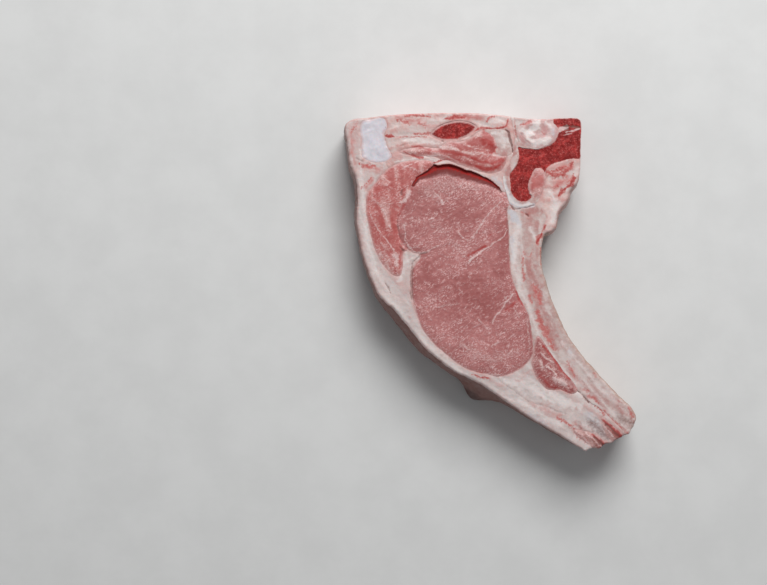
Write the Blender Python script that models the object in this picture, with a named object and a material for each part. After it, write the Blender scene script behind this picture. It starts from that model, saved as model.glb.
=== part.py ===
"""A raw veal rib chop lying on its side: muscles, fat and bones that run right through the cut.

The cut face is drawn as a map of smooth outlines, in millimetres. Where outlines overlap, the one
that comes first keeps the ground. Every tissue of the map then becomes one closed solid, from the
flat underside to the face on top, with a fine gap to its neighbours.
"""
import math

import bpy
import numpy as np
from mathutils import Vector, kdtree
from mathutils.geometry import delaunay_2d_cdt

MM = 0.001

# Sizes of the cut, in millimetres. The origin is under the middle of the chop.
THICKNESS = 28.0
HALF_GAP = 0.15
MAP_CENTRE = (0.05, -0.1)

# Fineness of the solids: steps along the drawn curves, then what is kept of them, then the grid
# of points between them, which stays clear of the borders by a share of its own step
FINE_STEP = 1.0
LONGEST_EDGE = 3.4
CHORD_ERROR = 0.12
GRID_STEP = 3.7
GRID_CLEARANCE = 0.6
OVAL_POINTS = 24
MERGE_DISTANCE = 0.00001
SMOOTH_DEGREES = 40.0

# A sharp corner of a tissue is never cut back by more than the half gap divided by this
MITRE_LIMIT = 0.25

# The rim of the upper face, clockwise from the spine's tip, with how far the side swells beyond it.
# The back and the chine are sawn straight, and the skin side and the rib swell out.
OUTLINE = [
    (-72.5, 78, 0.8), (-71, 80, 0.6), (-68, 81.5, 0.4), (-62.5, 82, 0.2), (-54.5, 83, 0),
    (-41.5, 84, 0), (-25, 84.5, 0), (-10, 84.5, 0), (5, 83.5, 0), (15, 82, 0), (27.5, 81.5, 0),
    (36, 82, 0), (44, 81.8, 0), (45.4, 80.5, 0), (45.5, 70.5, 0), (45, 56, 0.4), (44, 50, 1.5),
    (40, 45.5, 2.4), (39, 41.5, 2.4), (34.5, 34.5, 2), (32, 26.5, 1.8), (27.5, 23.5, 1),
    (26, 18.5, 1), (25.5, 11, 1.2), (28, -1, 1.4), (32, -12.5, 1.4), (40, -28.5, 1.2),
    (48.5, -40, 1.2), (58, -50.5, 1.2), (64.5, -57.5, 1), (71, -63.5, 0.8), (73, -68, 0.6),
    (70.5, -74, 0.6), (64.5, -78.5, 0.5), (59, -80.5, 0.4), (55.5, -83, 0.4), (51, -83, 0.4),
    (47.5, -84.5, 0.3), (45, -83, 0.4), (41.5, -81, 0.6), (33.5, -76, 0.8), (20, -68, 1),
    (7.5, -59.5, 1.6), (-5, -51, 2), (-17.5, -45, 2.4), (-26, -39, 2.8), (-33, -32.5, 3.6),
    (-40.5, -22.5, 4), (-48.5, -13.5, 3.6), (-54.5, -8, 2.2), (-59.5, 1, 1.2), (-64, 15, 1),
    (-66, 25, 1.2), (-66.5, 34, 1.6), (-66, 43.5, 1.8), (-67.5, 53, 1.5), (-70, 58.5, 1.2),
    (-71, 67, 1),
]

# A fold of the flank hangs out low on the skin side.
FOLD_PLACE = (-3.0, -52.0)
FOLD_REACH = 7.5
FOLD_SPREAD = 9.0

# Rings up the side: share of the height, of the swelling and of the fold
SIDE_RINGS = [(0.0, 0.45, 0.6), (0.12, 0.85, 1.0), (0.36, 1.0, 0.95), (0.6, 0.9, 0.5),
              (0.8, 0.65, 0.12), (0.94, 0.3, 0.02), (1.0, 0.0, 0.0)]

# The loin eye's upper edge sinks into a crevice below the pale band: places and depths along it.
CREVICE = [(-38.5, 48.5, 0.2), (-36.0, 52.5, 1.4), (-31.5, 54.5, 3.5), (-26.5, 57.5, 5.5), (-20.5, 58, 6.0),
           (-13.5, 55.5, 5.2), (-6, 52.8, 4.0), (0, 50.3, 2.2), (6.5, 46, 0.4)]
CREVICE_WIDTH = 6.5

# How far muscles stand up in the middle and how wide their rounded edges are
MUSCLE_RISE = 0.7
MUSCLE_EDGE = 6.0
MUSCLE_SEAM = 0.3

# The underside is the same cut seen from behind, a little shifted inside the rim.
LEAN = (1.8, -1.4)
LEAN_MARGIN = 22.0

EYE = [
    (-37, 52), (-32, 55), (-26.5, 58), (-20.5, 59), (-13.5, 56.5), (-6, 54), (0, 51), (5.5, 46),
    (8.5, 36.5), (9.5, 23.5), (10, 10), (13, -3.5), (19, -16), (21, -24.5), (21, -37), (15, -43.5),
    (6.5, -47), (-3, -46), (-11.5, -43.5), (-21, -37), (-31, -27.5), (-37, -15.5), (-39, -5),
    (-39, 6), (-35, 13), (-41, 16), (-45, 22), (-46.5, 29), (-45, 35.5), (-41.5, 43),
]
CAP = [
    (-61.5, 44), (-58, 49), (-53, 55), (-48.5, 58), (-41, 60.5), (-33.5, 61), (-28.5, 59.5),
    (-31, 55), (-32.5, 46), (-35, 33.5), (-37.5, 21), (-40.5, 16), (-43, 15), (-43.5, 7),
    (-45.5, 3), (-51, 5.5), (-56.5, 14), (-60, 24.5), (-62, 37),
]
UPPER_MUSCLE = [
    (-45.5, 65), (-39, 67.5), (-32, 67.5), (-26, 67), (-21, 70), (-12, 71), (-5, 75.5), (2, 75),
    (5, 68), (8.5, 62.5), (6.5, 56.5), (2, 54.5), (-5, 55), (-13, 58), (-22, 61), (-31, 63),
    (-39, 63),
]
RIB_MUSCLE = [
    (23.5, -27), (26.5, -29.5), (31, -36.5), (38, -46), (44, -54), (41, -56), (35.5, -54),
    (28.5, -53.5), (24, -48.5), (21, -41), (22, -32.5),
]
TAIL_MUSCLE_UPPER = [
    (55.5, -67), (61, -71.5), (67, -76), (74, -79.5), (66, -84), (60, -78), (56, -70.5),
]
TAIL_MUSCLE_LOWER = [
    (41.5, -74), (49.5, -75), (57, -78.5), (62, -83), (54, -89), (50, -81.5), (43.5, -77),
]
CARTILAGE = [
    (-64, 80), (-60, 81.3), (-53, 81.8), (-51.5, 78), (-53.5, 73), (-54, 70.5), (-50, 65.5),
    (-49, 62.5), (-53, 60), (-59, 60), (-63.5, 62.5), (-64, 66), (-64, 70.5), (-65, 75),
]
FACET = [
    (-3, 76), (7, 76), (9.5, 74.5), (11, 69.5), (11, 64.5), (6, 63), (1.5, 64.5), (3.5, 68),
    (2, 72.5),
]
MARROW = [
    (33, 84), (47, 90), (52, 84), (50, 67), (40.5, 64), (31.5, 60), (21, 58), (18, 55),
    (17, 50.5), (18.5, 46), (21, 43), (19, 40.5), (14.5, 40.5), (11, 44), (10, 50), (10, 54),
    (13, 58.5), (14.5, 64), (14, 67.5), (18.5, 67), (25.5, 67), (31, 69.5), (33.5, 72.5),
    (34, 76.5), (31.5, 80),
]
VERTEBRA = [
    (11, 86), (33, 90), (54, 90), (54, 63.5), (38, 61), (29, 57), (27.5, 50), (25.5, 43),
    (22, 38), (16, 36), (11, 37.5), (9, 41.5), (7, 49), (7, 54.5), (10.5, 60), (12, 67), (12, 75),
]
RIB = [
    (11, 39.5), (16.5, 38), (21.5, 39), (25.5, 37), (28, 32.5), (27, 26.5), (32, 23), (30.5, 10),
    (34, -3), (38.5, -13.5), (47, -30.5), (56, -40.5), (68.5, -53), (80, -64), (79, -76),
    (71, -79), (64, -72), (56.5, -64.5), (49, -59), (43.5, -53.5), (35, -41), (28, -31),
    (24, -24.5), (19, -15), (12, -1), (7.5, 10), (7, 21), (8, 33.5),
]
CHINE_FAT = [
    (24, 57.5), (33, 62), (50, 68.5), (60, 53.5), (52, 34), (40, 25), (31, 21), (25.5, 24.5),
    (25.5, 31), (28, 37.5), (25, 41), (22, 43),
]
BACK_FAT = [
    (-52.5, 90), (-30, 93), (15, 92), (13, 71), (11, 58.5), (8.5, 45), (0, 49), (-15, 55.5),
    (-25, 58), (-35, 60.5), (-44, 58.5), (-51, 57), (-51, 66), (-53, 73.5),
]
REMAINDER = "fat_cover"

# Colour and roughness of each kind of tissue
LOOKS = {
    "meat": ((0.42, 0.14, 0.135), 0.42),
    "fat": ((0.60, 0.50, 0.48), 0.45),
    "bone": ((0.66, 0.55, 0.52), 0.5),
    "cartilage": ((0.68, 0.65, 0.70), 0.38),
    "marrow": ((0.30, 0.035, 0.032), 0.5),
}


def smooth_loop(points, step):
    """A closed curve through the points, bent least where they lie close together."""
    points = np.array(points, float)
    count = len(points)
    curve = []
    for i in range(count):
        four = [points[(i + k - 1) % count] for k in range(4)]
        knots = [0.0]
        for a, b in zip(four, four[1:]):
            knots.append(knots[-1] + math.sqrt(math.dist(a[:2], b[:2])))
        pieces = max(1, round(math.dist(four[1][:2], four[2][:2]) / step))
        for k in range(pieces):
            curve.append(curve_point(four, knots, knots[1] + (knots[2] - knots[1]) * k / pieces))
    return np.array(curve)


def curve_point(four, knots, t):
    """The Catmull-Rom curve's point at t, mixed from four neighbouring points."""
    row = list(four)
    for level in (1, 2, 3):
        mixed = []
        for k in range(len(row) - 1):
            low = knots[k if level < 3 else 1]
            high = knots[k + level if level < 3 else 2]
            mixed.append((row[k] * (high - t) + row[k + 1] * (t - low)) / (high - low))
        row = mixed
    return row[0]


def spindle(centre, half_length, half_width, tilt, point):
    """A closed oval; point above 1 draws its two ends out to tips."""
    loop = []
    turn = math.radians(tilt)
    for k in range(OVAL_POINTS):
        angle = 2.0 * math.pi * k / OVAL_POINTS
        along = half_length * math.cos(angle)
        across = half_width * math.sin(angle) * abs(math.sin(angle)) ** (point - 1.0)
        loop.append((centre[0] + along * math.cos(turn) - across * math.sin(turn),
                     centre[1] + along * math.sin(turn) + across * math.cos(turn)))
    return loop


# The tissues, and which keeps the ground where two outlines overlap: the first in the list
CANAL = spindle((23.2, 74.5), 9.7, 7.4, -8, 1.0)
DISC_MUSCLE = spindle((23.6, 49.6), 7.4, 3.9, 78, 1.1)
FEATHER_BONE = spindle((-18.2, 75.6), 12.0, 5.0, 10, 1.35)
TISSUES = [
    ("spinal_canal", CANAL, "bone"),
    ("vertebra_marrow", MARROW, "marrow"),
    ("disc_muscle", DISC_MUSCLE, "meat"),
    ("vertebra_bone", VERTEBRA, "bone"),
    ("loin_eye", EYE, "meat"),
    ("cap_muscle", CAP, "meat"),
    ("facet_bone", FACET, "bone"),
    ("feather_bone", FEATHER_BONE, "marrow"),
    ("spine_cartilage", CARTILAGE, "cartilage"),
    ("rib_muscle", RIB_MUSCLE, "meat"),
    ("tail_muscle_upper", TAIL_MUSCLE_UPPER, "meat"),
    ("tail_muscle_lower", TAIL_MUSCLE_LOWER, "meat"),
    ("rib_bone", RIB, "bone"),
    ("upper_muscle", UPPER_MUSCLE, "meat"),
    ("chine_fat", CHINE_FAT, "fat"),
    ("back_fat", BACK_FAT, "fat"),
]
NAMES = [tissue[0] for tissue in TISSUES] + [REMAINDER]
KINDS = {tissue[0]: tissue[2] for tissue in TISSUES}
KINDS[REMAINDER] = "fat"
OUTSIDE = -1


def inside(places, loop):
    """Which of the places lie inside the closed loop."""
    x = places[:, 0][:, None]
    y = places[:, 1][:, None]
    ax, ay = loop[:, 0], loop[:, 1]
    bx, by = np.roll(ax, -1), np.roll(ay, -1)
    straddles = (ay > y) != (by > y)
    slope = np.where(by == ay, 1.0, by - ay)
    crossing = straddles & (x < ax + (y - ay) * (bx - ax) / slope)
    return crossing.sum(axis=1) % 2 == 1


def tissue_at(places, rim, loops):
    """The number of the tissue at each place, or OUTSIDE."""
    found = np.full(len(places), len(loops))
    for number in reversed(range(len(loops))):
        found[inside(places, loops[number])] = number
    found[~inside(places, rim)] = OUTSIDE
    return found


def triangulate(places, edges):
    """Triangles, counterclockwise, over the places, their areas, and the given edges as kept."""
    result = delaunay_2d_cdt([Vector(p[:2]) for p in places], edges, [], 0, MERGE_DISTANCE, True)
    corners = np.array([tuple(v) for v in result[0]])
    faces = np.array([list(face) for face in result[2]])
    a, b, c = (corners[faces[:, k]] for k in range(3))
    turn = (b[:, 0] - a[:, 0]) * (c[:, 1] - a[:, 1]) - (b[:, 1] - a[:, 1]) * (c[:, 0] - a[:, 0])
    faces[turn < 0] = faces[turn < 0][:, ::-1]
    kept = {(min(edge), max(edge)) for edge, given in zip(result[1], result[4]) if given}
    return corners, faces, np.abs(turn) / 2.0, kept


def edge_owners(faces):
    """Each edge's faces, with the edge as two vertex numbers in rising order."""
    owners = {}
    for number, face in enumerate(faces.tolist()):
        for a, b in ((face[0], face[1]), (face[1], face[2]), (face[2], face[0])):
            owners.setdefault((min(a, b), max(a, b)), []).append(number)
    return owners


def patches(faces, owners, same):
    """Groups of faces joined over edges that same() lets through."""
    group = [-1] * len(faces)
    neighbours = [[] for _ in range(len(faces))]
    for edge, pair in owners.items():
        if len(pair) == 2 and same(edge, pair):
            neighbours[pair[0]].append(pair[1])
            neighbours[pair[1]].append(pair[0])
    count = 0
    for start in range(len(faces)):
        if group[start] >= 0:
            continue
        group[start] = count
        queue = [start]
        while queue:
            for other in neighbours[queue.pop()]:
                if group[other] < 0:
                    group[other] = count
                    queue.append(other)
        count += 1
    return np.array(group), count


def settle_scraps(corners, faces, areas, owners, label):
    """Leaves each tissue in one patch: its smaller patches go to the neighbour they touch most."""
    while True:
        group, count = patches(faces, owners, lambda edge, pair: label[pair[0]] == label[pair[1]])
        size = np.bincount(group, weights=areas, minlength=count)
        owner = np.full(count, OUTSIDE)
        owner[group] = label
        main = {}
        for patch in range(count):
            best = main.get(owner[patch])
            if best is None or size[patch] > size[best]:
                main[owner[patch]] = patch
        scraps = [p for p in range(count) if owner[p] != OUTSIDE and main[owner[p]] != p]
        if not scraps:
            return label
        scrap = min(scraps, key=lambda p: size[p])
        touch = {}
        for (a, b), pair in owners.items():
            if len(pair) == 2 and (group[pair[0]] == scrap) != (group[pair[1]] == scrap):
                other = pair[1] if group[pair[0]] == scrap else pair[0]
                length = math.dist(corners[a], corners[b])
                touch[label[other]] = touch.get(label[other], 0.0) + length
        touch.pop(OUTSIDE, None)
        label = np.where(group == scrap, max(touch, key=touch.get), label)


def border_chains(owners, label):
    """The borders between tissues, as runs of vertices from one junction to the next."""
    links = {}
    for (a, b), pair in owners.items():
        sides = {label[f] for f in pair} | ({OUTSIDE} if len(pair) == 1 else set())
        if len(sides) == 2:
            links.setdefault(a, []).append(b)
            links.setdefault(b, []).append(a)
    chains = []
    used = set()
    junctions = [v for v in sorted(links) if len(links[v]) != 2]
    for start in junctions + [v for v in sorted(links) if len(links[v]) == 2]:
        for step in links[start]:
            if (start, step) in used:
                continue
            chain = [start, step]
            used.update([(start, step), (step, start)])
            while len(links[chain[-1]]) == 2 and chain[-1] != start:
                after = [v for v in links[chain[-1]] if v != chain[-2]][0]
                used.update([(chain[-1], after), (after, chain[-1])])
                chain.append(after)
            chains.append(chain)
    return chains


def thin_out(line):
    """Keeps the line's ends and the fewest points that hold its shape."""
    kept = [0]
    last = len(line) - 1
    while kept[-1] < last:
        start = kept[-1]
        reach = start + 1
        while reach < last:
            chord = line[reach + 1] - line[start]
            length = math.hypot(*chord)
            between = line[start + 1:reach + 1] - line[start]
            off = np.abs(chord[0] * between[:, 1] - chord[1] * between[:, 0]) / max(length, 1e-9)
            if length > LONGEST_EDGE or off.max() > CHORD_ERROR or length < 1e-6:
                break
            reach += 1
        kept.append(reach)
    return line[kept]


def tissue_map():
    """The whole map in triangles: corners, faces and each face's tissue number."""
    rim = smooth_loop(OUTLINE, FINE_STEP)
    loops = [smooth_loop(tissue[1], FINE_STEP) for tissue in TISSUES]
    places = np.vstack([rim[:, :2]] + loops)
    edges = []
    first = 0
    for loop in [rim] + loops:
        count = len(loop)
        edges += [(first + k, first + (k + 1) % count) for k in range(count)]
        first += count
    corners, faces, areas, _ = triangulate(places, edges)
    label = tissue_at(corners[faces].mean(axis=1), rim, loops)
    owners = edge_owners(faces)
    label = settle_scraps(corners, faces, areas, owners, label)
    borders = [thin_out(corners[chain]) for chain in border_chains(owners, label)]
    return coarse_map(borders, rim, loops)


def coarse_map(borders, rim, loops):
    """Triangles over the thinned borders and an even grid between them."""
    near = kdtree.KDTree(sum(len(line) for line in borders) * 4)
    places = []
    edges = []
    number = 0
    for line in borders:
        for k in range(len(line) - 1):
            edges.append((len(places), len(places) + 1))
            places += [line[k], line[k + 1]]
            for share in (0.0, 0.25, 0.5, 0.75):
                spot = line[k] * (1.0 - share) + line[k + 1] * share
                near.insert((spot[0], spot[1], 0.0), number)
                number += 1
    near.balance()
    row_step = GRID_STEP * math.sqrt(3.0) / 2.0
    low, high = rim[:, :2].min(axis=0), rim[:, :2].max(axis=0)
    for row in range(int((high[1] - low[1]) / row_step) + 1):
        for column in range(int((high[0] - low[0]) / GRID_STEP) + 1):
            spot = (low[0] + (column + 0.5 * (row % 2)) * GRID_STEP, low[1] + row * row_step)
            if near.find((spot[0], spot[1], 0.0))[2] > GRID_CLEARANCE * GRID_STEP:
                places.append(np.array(spot))
    corners, faces, areas, kept = triangulate(places, edges)
    label = tissue_at(corners[faces].mean(axis=1), rim, loops)
    owners = edge_owners(faces)
    group, count = patches(faces, owners, lambda edge, pair: edge not in kept)
    for patch in range(count):
        members = group == patch
        weight = {}
        for tissue, area in zip(label[members], areas[members]):
            weight[tissue] = weight.get(tissue, 0.0) + area
        label[members] = max(weight, key=weight.get)
    label = settle_scraps(corners, faces, areas, owners, label)
    return corners, faces, label


def rim_data(corners, faces, label):
    """For each vertex on the chop's rim, the way outwards and how far its side swells."""
    rim = smooth_loop(OUTLINE, FINE_STEP)
    finder = kdtree.KDTree(len(rim))
    for number, place in enumerate(rim):
        finder.insert((place[0], place[1], 0.0), number)
    finder.balance()
    turned = {}
    for (a, b), pair in edge_owners(faces).items():
        sides = [label[f] for f in pair] + [OUTSIDE] * (2 - len(pair))
        if (sides[0] == OUTSIDE) == (sides[1] == OUTSIDE):
            continue
        member = pair[0] if sides[0] != OUTSIDE else pair[1]
        along = corners[b] - corners[a]
        out = np.array((along[1], -along[0])) / math.hypot(*along)
        third = corners[faces[member]].mean(axis=0) - corners[a]
        if out @ third > 0:
            out = -out
        for end in (a, b):
            turned[end] = turned.get(end, 0.0) + out
    data = {}
    for vertex, out in turned.items():
        place = corners[vertex]
        nearest = finder.find((place[0], place[1], 0.0))[1]
        fold = FOLD_REACH * math.exp(-(math.dist(place, FOLD_PLACE) / FOLD_SPREAD) ** 2)
        data[vertex] = (out / math.hypot(*out), max(rim[nearest][2], 0.0), fold)
    return data


def open_line(points, step):
    """Points at even steps along a broken line, with all their values mixed."""
    line = []
    for a, b in zip(np.array(points, float), np.array(points[1:], float)):
        pieces = max(1, round(math.dist(a[:2], b[:2]) / step))
        line += [a + (b - a) * k / pieces for k in range(pieces)]
    return np.array(line + [np.array(points[-1], float)])


def top_heights(name, places, border):
    """The height of the upper face at the places: muscles swell and the eye's top edge sinks."""
    heights = np.full(len(places), THICKNESS)
    if KINDS[name] == "meat":
        reach = np.array([min(np.hypot(*(border - p).T)) for p in places]) / MUSCLE_EDGE
        share = np.clip(reach, 0.0, 1.0)
        heights += -MUSCLE_SEAM + (MUSCLE_RISE + MUSCLE_SEAM) * share * (2.0 - share)
    if name == "loin_eye":
        line = open_line(CREVICE, FINE_STEP)
        for k, place in enumerate(places):
            away = np.hypot(line[:, 0] - place[0], line[:, 1] - place[1])
            share = max(0.0, 1.0 - away.min() / CREVICE_WIDTH)
            heights[k] -= line[away.argmin()][2] * share * share
    return heights


def solid(name, corners, faces, rim):
    """One tissue as a closed body: a face on top, one below and walls between them."""
    sides = [edge for a, b, c in faces.tolist() for edge in ((a, b), (b, c), (c, a))]
    known = set(sides)
    border = [edge for edge in sides if (edge[1], edge[0]) not in known]
    after = {}
    before = {}
    for a, b in border:
        after.setdefault(a, []).append(b)
        before.setdefault(b, []).append(a)
    pinched = [v for v in after if len(after[v]) > 1]
    if pinched:
        raise ValueError(f"{name} touches itself at {corners[pinched[0]]}")
    numbers = sorted({v for face in faces.tolist() for v in face})
    inset = {v: corners[v].copy() for v in numbers}
    for v in after:
        inset[v] += gap_step(corners[before[v][0]], corners[v], corners[after[v][0]])
    border_places = np.array([corners[v] for v in after])
    tops = top_heights(name, np.array([inset[v] for v in numbers]), border_places)
    verts = []
    column = {}
    for v, top in zip(numbers, tops):
        column[v] = []
        rings = [(0.0, 0.0, 0.0), (1.0, 0.0, 0.0)]
        out, swelling, fold = np.zeros(2), 0.0, 0.0
        if v in after and v in rim:
            rings = SIDE_RINGS
            out, swelling, fold = rim[v]
        for share, swell_share, fold_share in rings:
            place = inset[v] + out * (swelling * swell_share + fold * fold_share)
            place = place + lean_step(inset[v]) * (1.0 - share)
            column[v].append(len(verts))
            verts.append((place[0], place[1], top * share))
    mesh_faces = []
    for a, b, c in faces.tolist():
        mesh_faces.append((column[a][-1], column[b][-1], column[c][-1]))
        mesh_faces.append((column[c][0], column[b][0], column[a][0]))
    for a, b in border:
        mesh_faces += wall(column[a], column[b])
    return verts, mesh_faces


def gap_step(before, place, after):
    """The step inwards that leaves half a gap along both edges of a border's corner."""
    first, second = place - before, after - place
    first_in = np.array((-first[1], first[0])) / math.hypot(*first)
    second_in = np.array((-second[1], second[0])) / math.hypot(*second)
    together = first_in + second_in
    return together * HALF_GAP / max(1.0 + first_in @ second_in, MITRE_LIMIT)


def lean_step(place):
    """How far the underside is shifted at a place, nothing near the rim."""
    away = RIM_LINE - place
    share = min(1.0, math.sqrt((away * away).sum(axis=1).min()) / LEAN_MARGIN)
    return np.array(LEAN) * share * share * (3.0 - 2.0 * share)


def wall(left, right):
    """Triangles between two columns of vertices, climbing whichever side is lower."""
    faces = []
    i = j = 0
    while i < len(left) - 1 or j < len(right) - 1:
        left_next = (i + 1) / (len(left) - 1)
        right_next = (j + 1) / (len(right) - 1)
        if j == len(right) - 1 or (i < len(left) - 1 and left_next <= right_next):
            faces.append((left[i], right[j], left[i + 1]))
            i += 1
        else:
            faces.append((left[i], right[j], right[j + 1]))
            j += 1
    return faces


def material(kind):
    """A plain material in the tissue's colour."""
    colour, roughness = LOOKS[kind]
    made = bpy.data.materials.new(kind)
    made.use_nodes = True
    shader = made.node_tree.nodes["Principled BSDF"]
    shader.inputs["Base Color"].default_value = (*colour, 1.0)
    shader.inputs["Roughness"].default_value = roughness
    shader.inputs["Metallic"].default_value = 0.0
    return made


def add_object(name, verts, faces, look):
    """The tissue's object, in metres, with its flat faces smoothed over gentle angles."""
    mesh = bpy.data.meshes.new(name)
    centred = [((x - MAP_CENTRE[0]) * MM, (y - MAP_CENTRE[1]) * MM, z * MM) for x, y, z in verts]
    mesh.from_pydata(centred, [], faces)
    mesh.validate()
    mesh.shade_smooth()
    mesh.set_sharp_from_angle(angle=math.radians(SMOOTH_DEGREES))
    mesh.materials.append(look)
    thing = bpy.data.objects.new(name, mesh)
    bpy.context.scene.collection.objects.link(thing)


RIM_LINE = smooth_loop(OUTLINE, FINE_STEP)[:, :2]


def main():
    """Builds every tissue of the chop."""
    for thing in list(bpy.data.objects):
        bpy.data.objects.remove(thing)
    looks = {kind: material(kind) for kind in LOOKS}
    corners, faces, label = tissue_map()
    rim = rim_data(corners, faces, label)
    for number, name in enumerate(NAMES):
        verts, mesh_faces = solid(name, corners, faces[label == number], rim)
        add_object(name, verts, mesh_faces, looks[KINDS[name]])


main()
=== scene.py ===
"""The looks of a raw veal rib chop that lies on its side, seen from straight above.

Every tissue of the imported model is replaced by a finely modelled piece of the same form. The cut
face is the same map of outlines, in millimetres, as the solids have. Marks drawn on the map, such
as white septa, blood stains and creases, reach the materials as soft fields on the meshes.
"""
import math

import bpy
import numpy as np
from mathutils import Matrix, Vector, kdtree
from mathutils.geometry import delaunay_2d_cdt


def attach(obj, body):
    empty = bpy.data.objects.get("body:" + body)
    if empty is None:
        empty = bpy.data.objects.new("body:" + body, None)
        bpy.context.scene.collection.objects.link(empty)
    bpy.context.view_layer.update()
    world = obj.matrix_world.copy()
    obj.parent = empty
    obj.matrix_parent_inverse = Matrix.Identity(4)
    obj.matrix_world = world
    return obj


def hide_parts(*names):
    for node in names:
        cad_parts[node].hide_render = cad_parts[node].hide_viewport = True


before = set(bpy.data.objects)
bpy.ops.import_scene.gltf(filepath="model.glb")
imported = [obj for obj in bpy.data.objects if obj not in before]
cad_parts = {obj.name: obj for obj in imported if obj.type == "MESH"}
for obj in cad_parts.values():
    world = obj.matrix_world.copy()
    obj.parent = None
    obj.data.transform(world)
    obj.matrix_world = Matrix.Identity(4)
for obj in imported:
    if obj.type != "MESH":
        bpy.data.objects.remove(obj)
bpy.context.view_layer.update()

MM = 0.001

# The form, as the solids have it, in millimetres. The outline's third value is how far it swells.
THICKNESS = 28.0
MAP_CENTRE = (0.05, -0.1)
OUTLINE = [
    (-72.5, 78, 0.8), (-71, 80, 0.6), (-68, 81.5, 0.4), (-62.5, 82, 0.2), (-54.5, 83, 0),
    (-41.5, 84, 0), (-25, 84.5, 0), (-10, 84.5, 0), (5, 83.5, 0), (15, 82, 0), (27.5, 81.5, 0),
    (36, 82, 0), (44, 81.8, 0), (45.4, 80.5, 0), (45.5, 70.5, 0), (45, 56, 0.4), (44, 50, 1.5),
    (40, 45.5, 2.4), (39, 41.5, 2.4), (34.5, 34.5, 2), (32, 26.5, 1.8), (27.5, 23.5, 1),
    (26, 18.5, 1), (25.5, 11, 1.2), (28, -1, 1.4), (32, -12.5, 1.4), (40, -28.5, 1.2),
    (48.5, -40, 1.2), (58, -50.5, 1.2), (64.5, -57.5, 1), (71, -63.5, 0.8), (73, -68, 0.6),
    (70.5, -74, 0.6), (64.5, -78.5, 0.5), (59, -80.5, 0.4), (55.5, -83, 0.4), (51, -83, 0.4),
    (47.5, -84.5, 0.3), (45, -83, 0.4), (41.5, -81, 0.6), (33.5, -76, 0.8), (20, -68, 1),
    (7.5, -59.5, 1.6), (-5, -51, 2), (-17.5, -45, 2.4), (-26, -39, 2.8), (-33, -32.5, 3.6),
    (-40.5, -22.5, 4), (-48.5, -13.5, 3.6), (-54.5, -8, 2.2), (-59.5, 1, 1.2), (-64, 15, 1),
    (-66, 25, 1.2), (-66.5, 34, 1.6), (-66, 43.5, 1.8), (-67.5, 53, 1.5), (-70, 58.5, 1.2),
    (-71, 67, 1),
]
FOLD_PLACE = (-3.0, -52.0)
FOLD_REACH = 7.5
FOLD_SPREAD = 9.0

# Shares of the thickness from below, each with its shares of the swelling and of the fold
SIDE_RINGS = [(0.0, 0.45, 0.6), (0.12, 0.85, 1.0), (0.36, 1.0, 0.95), (0.6, 0.9, 0.5),
              (0.8, 0.65, 0.12), (0.94, 0.3, 0.02), (1.0, 0.0, 0.0)]

# The red crevice above the loin eye: a line of places with how deep the eye sinks at each
CREVICE = [(-38.5, 48.5, 0.2), (-36.0, 52.5, 1.4), (-31.5, 54.5, 3.5), (-26.5, 57.5, 5.5),
           (-20.5, 58, 6.0), (-13.5, 55.5, 5.2), (-6, 52.8, 4.0), (0, 50.3, 2.2), (6.5, 46, 0.4)]
CREVICE_WIDTH = 6.5
CREVICE_SHARE = 0.32
CREVICE_RED_SHADE_REACH = 0.85

# The eye's neighbours get the crevice's red and painted shade at their borders too, where these lie deep
# enough in the crevice
AT_BORDER = 0.1
BORDER_RED_SHADE = 0.72

# The relief of the cut face: how far tissues rise or sink, and how far from their borders they do
MUSCLE_RISE = 0.7
MUSCLE_EDGE = 6.0
MUSCLE_SEAM = 0.1
SEPTUM_RISE = 0.1
MARROW_SINK = 0.3
STAIN_SINK = 0.15
STRAND_RISE = 0.3
GROOVE_DEPTH = 0.1
GROOVE_EDGE = 0.9
CANAL_RISE = 0.4
CANAL_EDGE = 2.5
CREASE_DEPTH = 0.45

# The relief's lumps: their height and their size in millimetres, and the seed of their noise
FACE_LUMPS = (0.16, 7.0, 31)
FIBRE_LUMPS = (0.1, 1.8, 41)
FIBRE_STRETCH = 2.2
MEAT_GRAIN = (0.09, 1.3, 51)
MARROW_GRAIN = (0.22, 1.6, 61)
BONE_GRAIN = (0.06, 1.5, 71)
FAT_LUMPS = (0.15, 3.6, 81)
FAT_GRAIN = (0.05, 1.2, 91)
CANAL_LUMPS = (0.7, 5.0, 111)

# How far the tissues lean from the cut face down to the underside
LEAN = (1.8, -1.4)
LEAN_MARGIN = 22.0

EYE = [
    (-37, 52), (-32, 55), (-26.5, 58), (-20.5, 59), (-13.5, 56.5), (-6, 54), (0, 51), (5.5, 46),
    (8.5, 36.5), (9.5, 23.5), (10, 10), (13, -3.5), (19, -16), (21, -24.5), (21, -37), (15, -43.5),
    (6.5, -47), (-3, -46), (-11.5, -43.5), (-21, -37), (-31, -27.5), (-37, -15.5), (-39, -5),
    (-39, 6), (-35, 13), (-41, 16), (-45, 22), (-46.5, 29), (-45, 35.5), (-41.5, 43),
]
CAP = [
    (-61.5, 44), (-58, 49), (-53, 55), (-48.5, 58), (-41, 60.5), (-33.5, 61), (-28.5, 59.5),
    (-31, 55), (-32.5, 46), (-35, 33.5), (-37.5, 21), (-40.5, 16), (-43, 15), (-43.5, 7),
    (-45.5, 3), (-51, 5.5), (-56.5, 14), (-60, 24.5), (-62, 37),
]
UPPER_MUSCLE = [
    (-45.5, 65), (-39, 67.5), (-32, 67.5), (-26, 67), (-21, 70), (-12, 71), (-5, 75.5), (2, 75),
    (5, 68), (8.5, 62.5), (6.5, 56.5), (2, 54.5), (-5, 55), (-13, 58), (-22, 61), (-31, 63),
    (-39, 63),
]
RIB_MUSCLE = [
    (23.5, -27), (26.5, -29.5), (31, -36.5), (38, -46), (44, -54), (41, -56), (35.5, -54),
    (28.5, -53.5), (24, -48.5), (21, -41), (22, -32.5),
]
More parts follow.
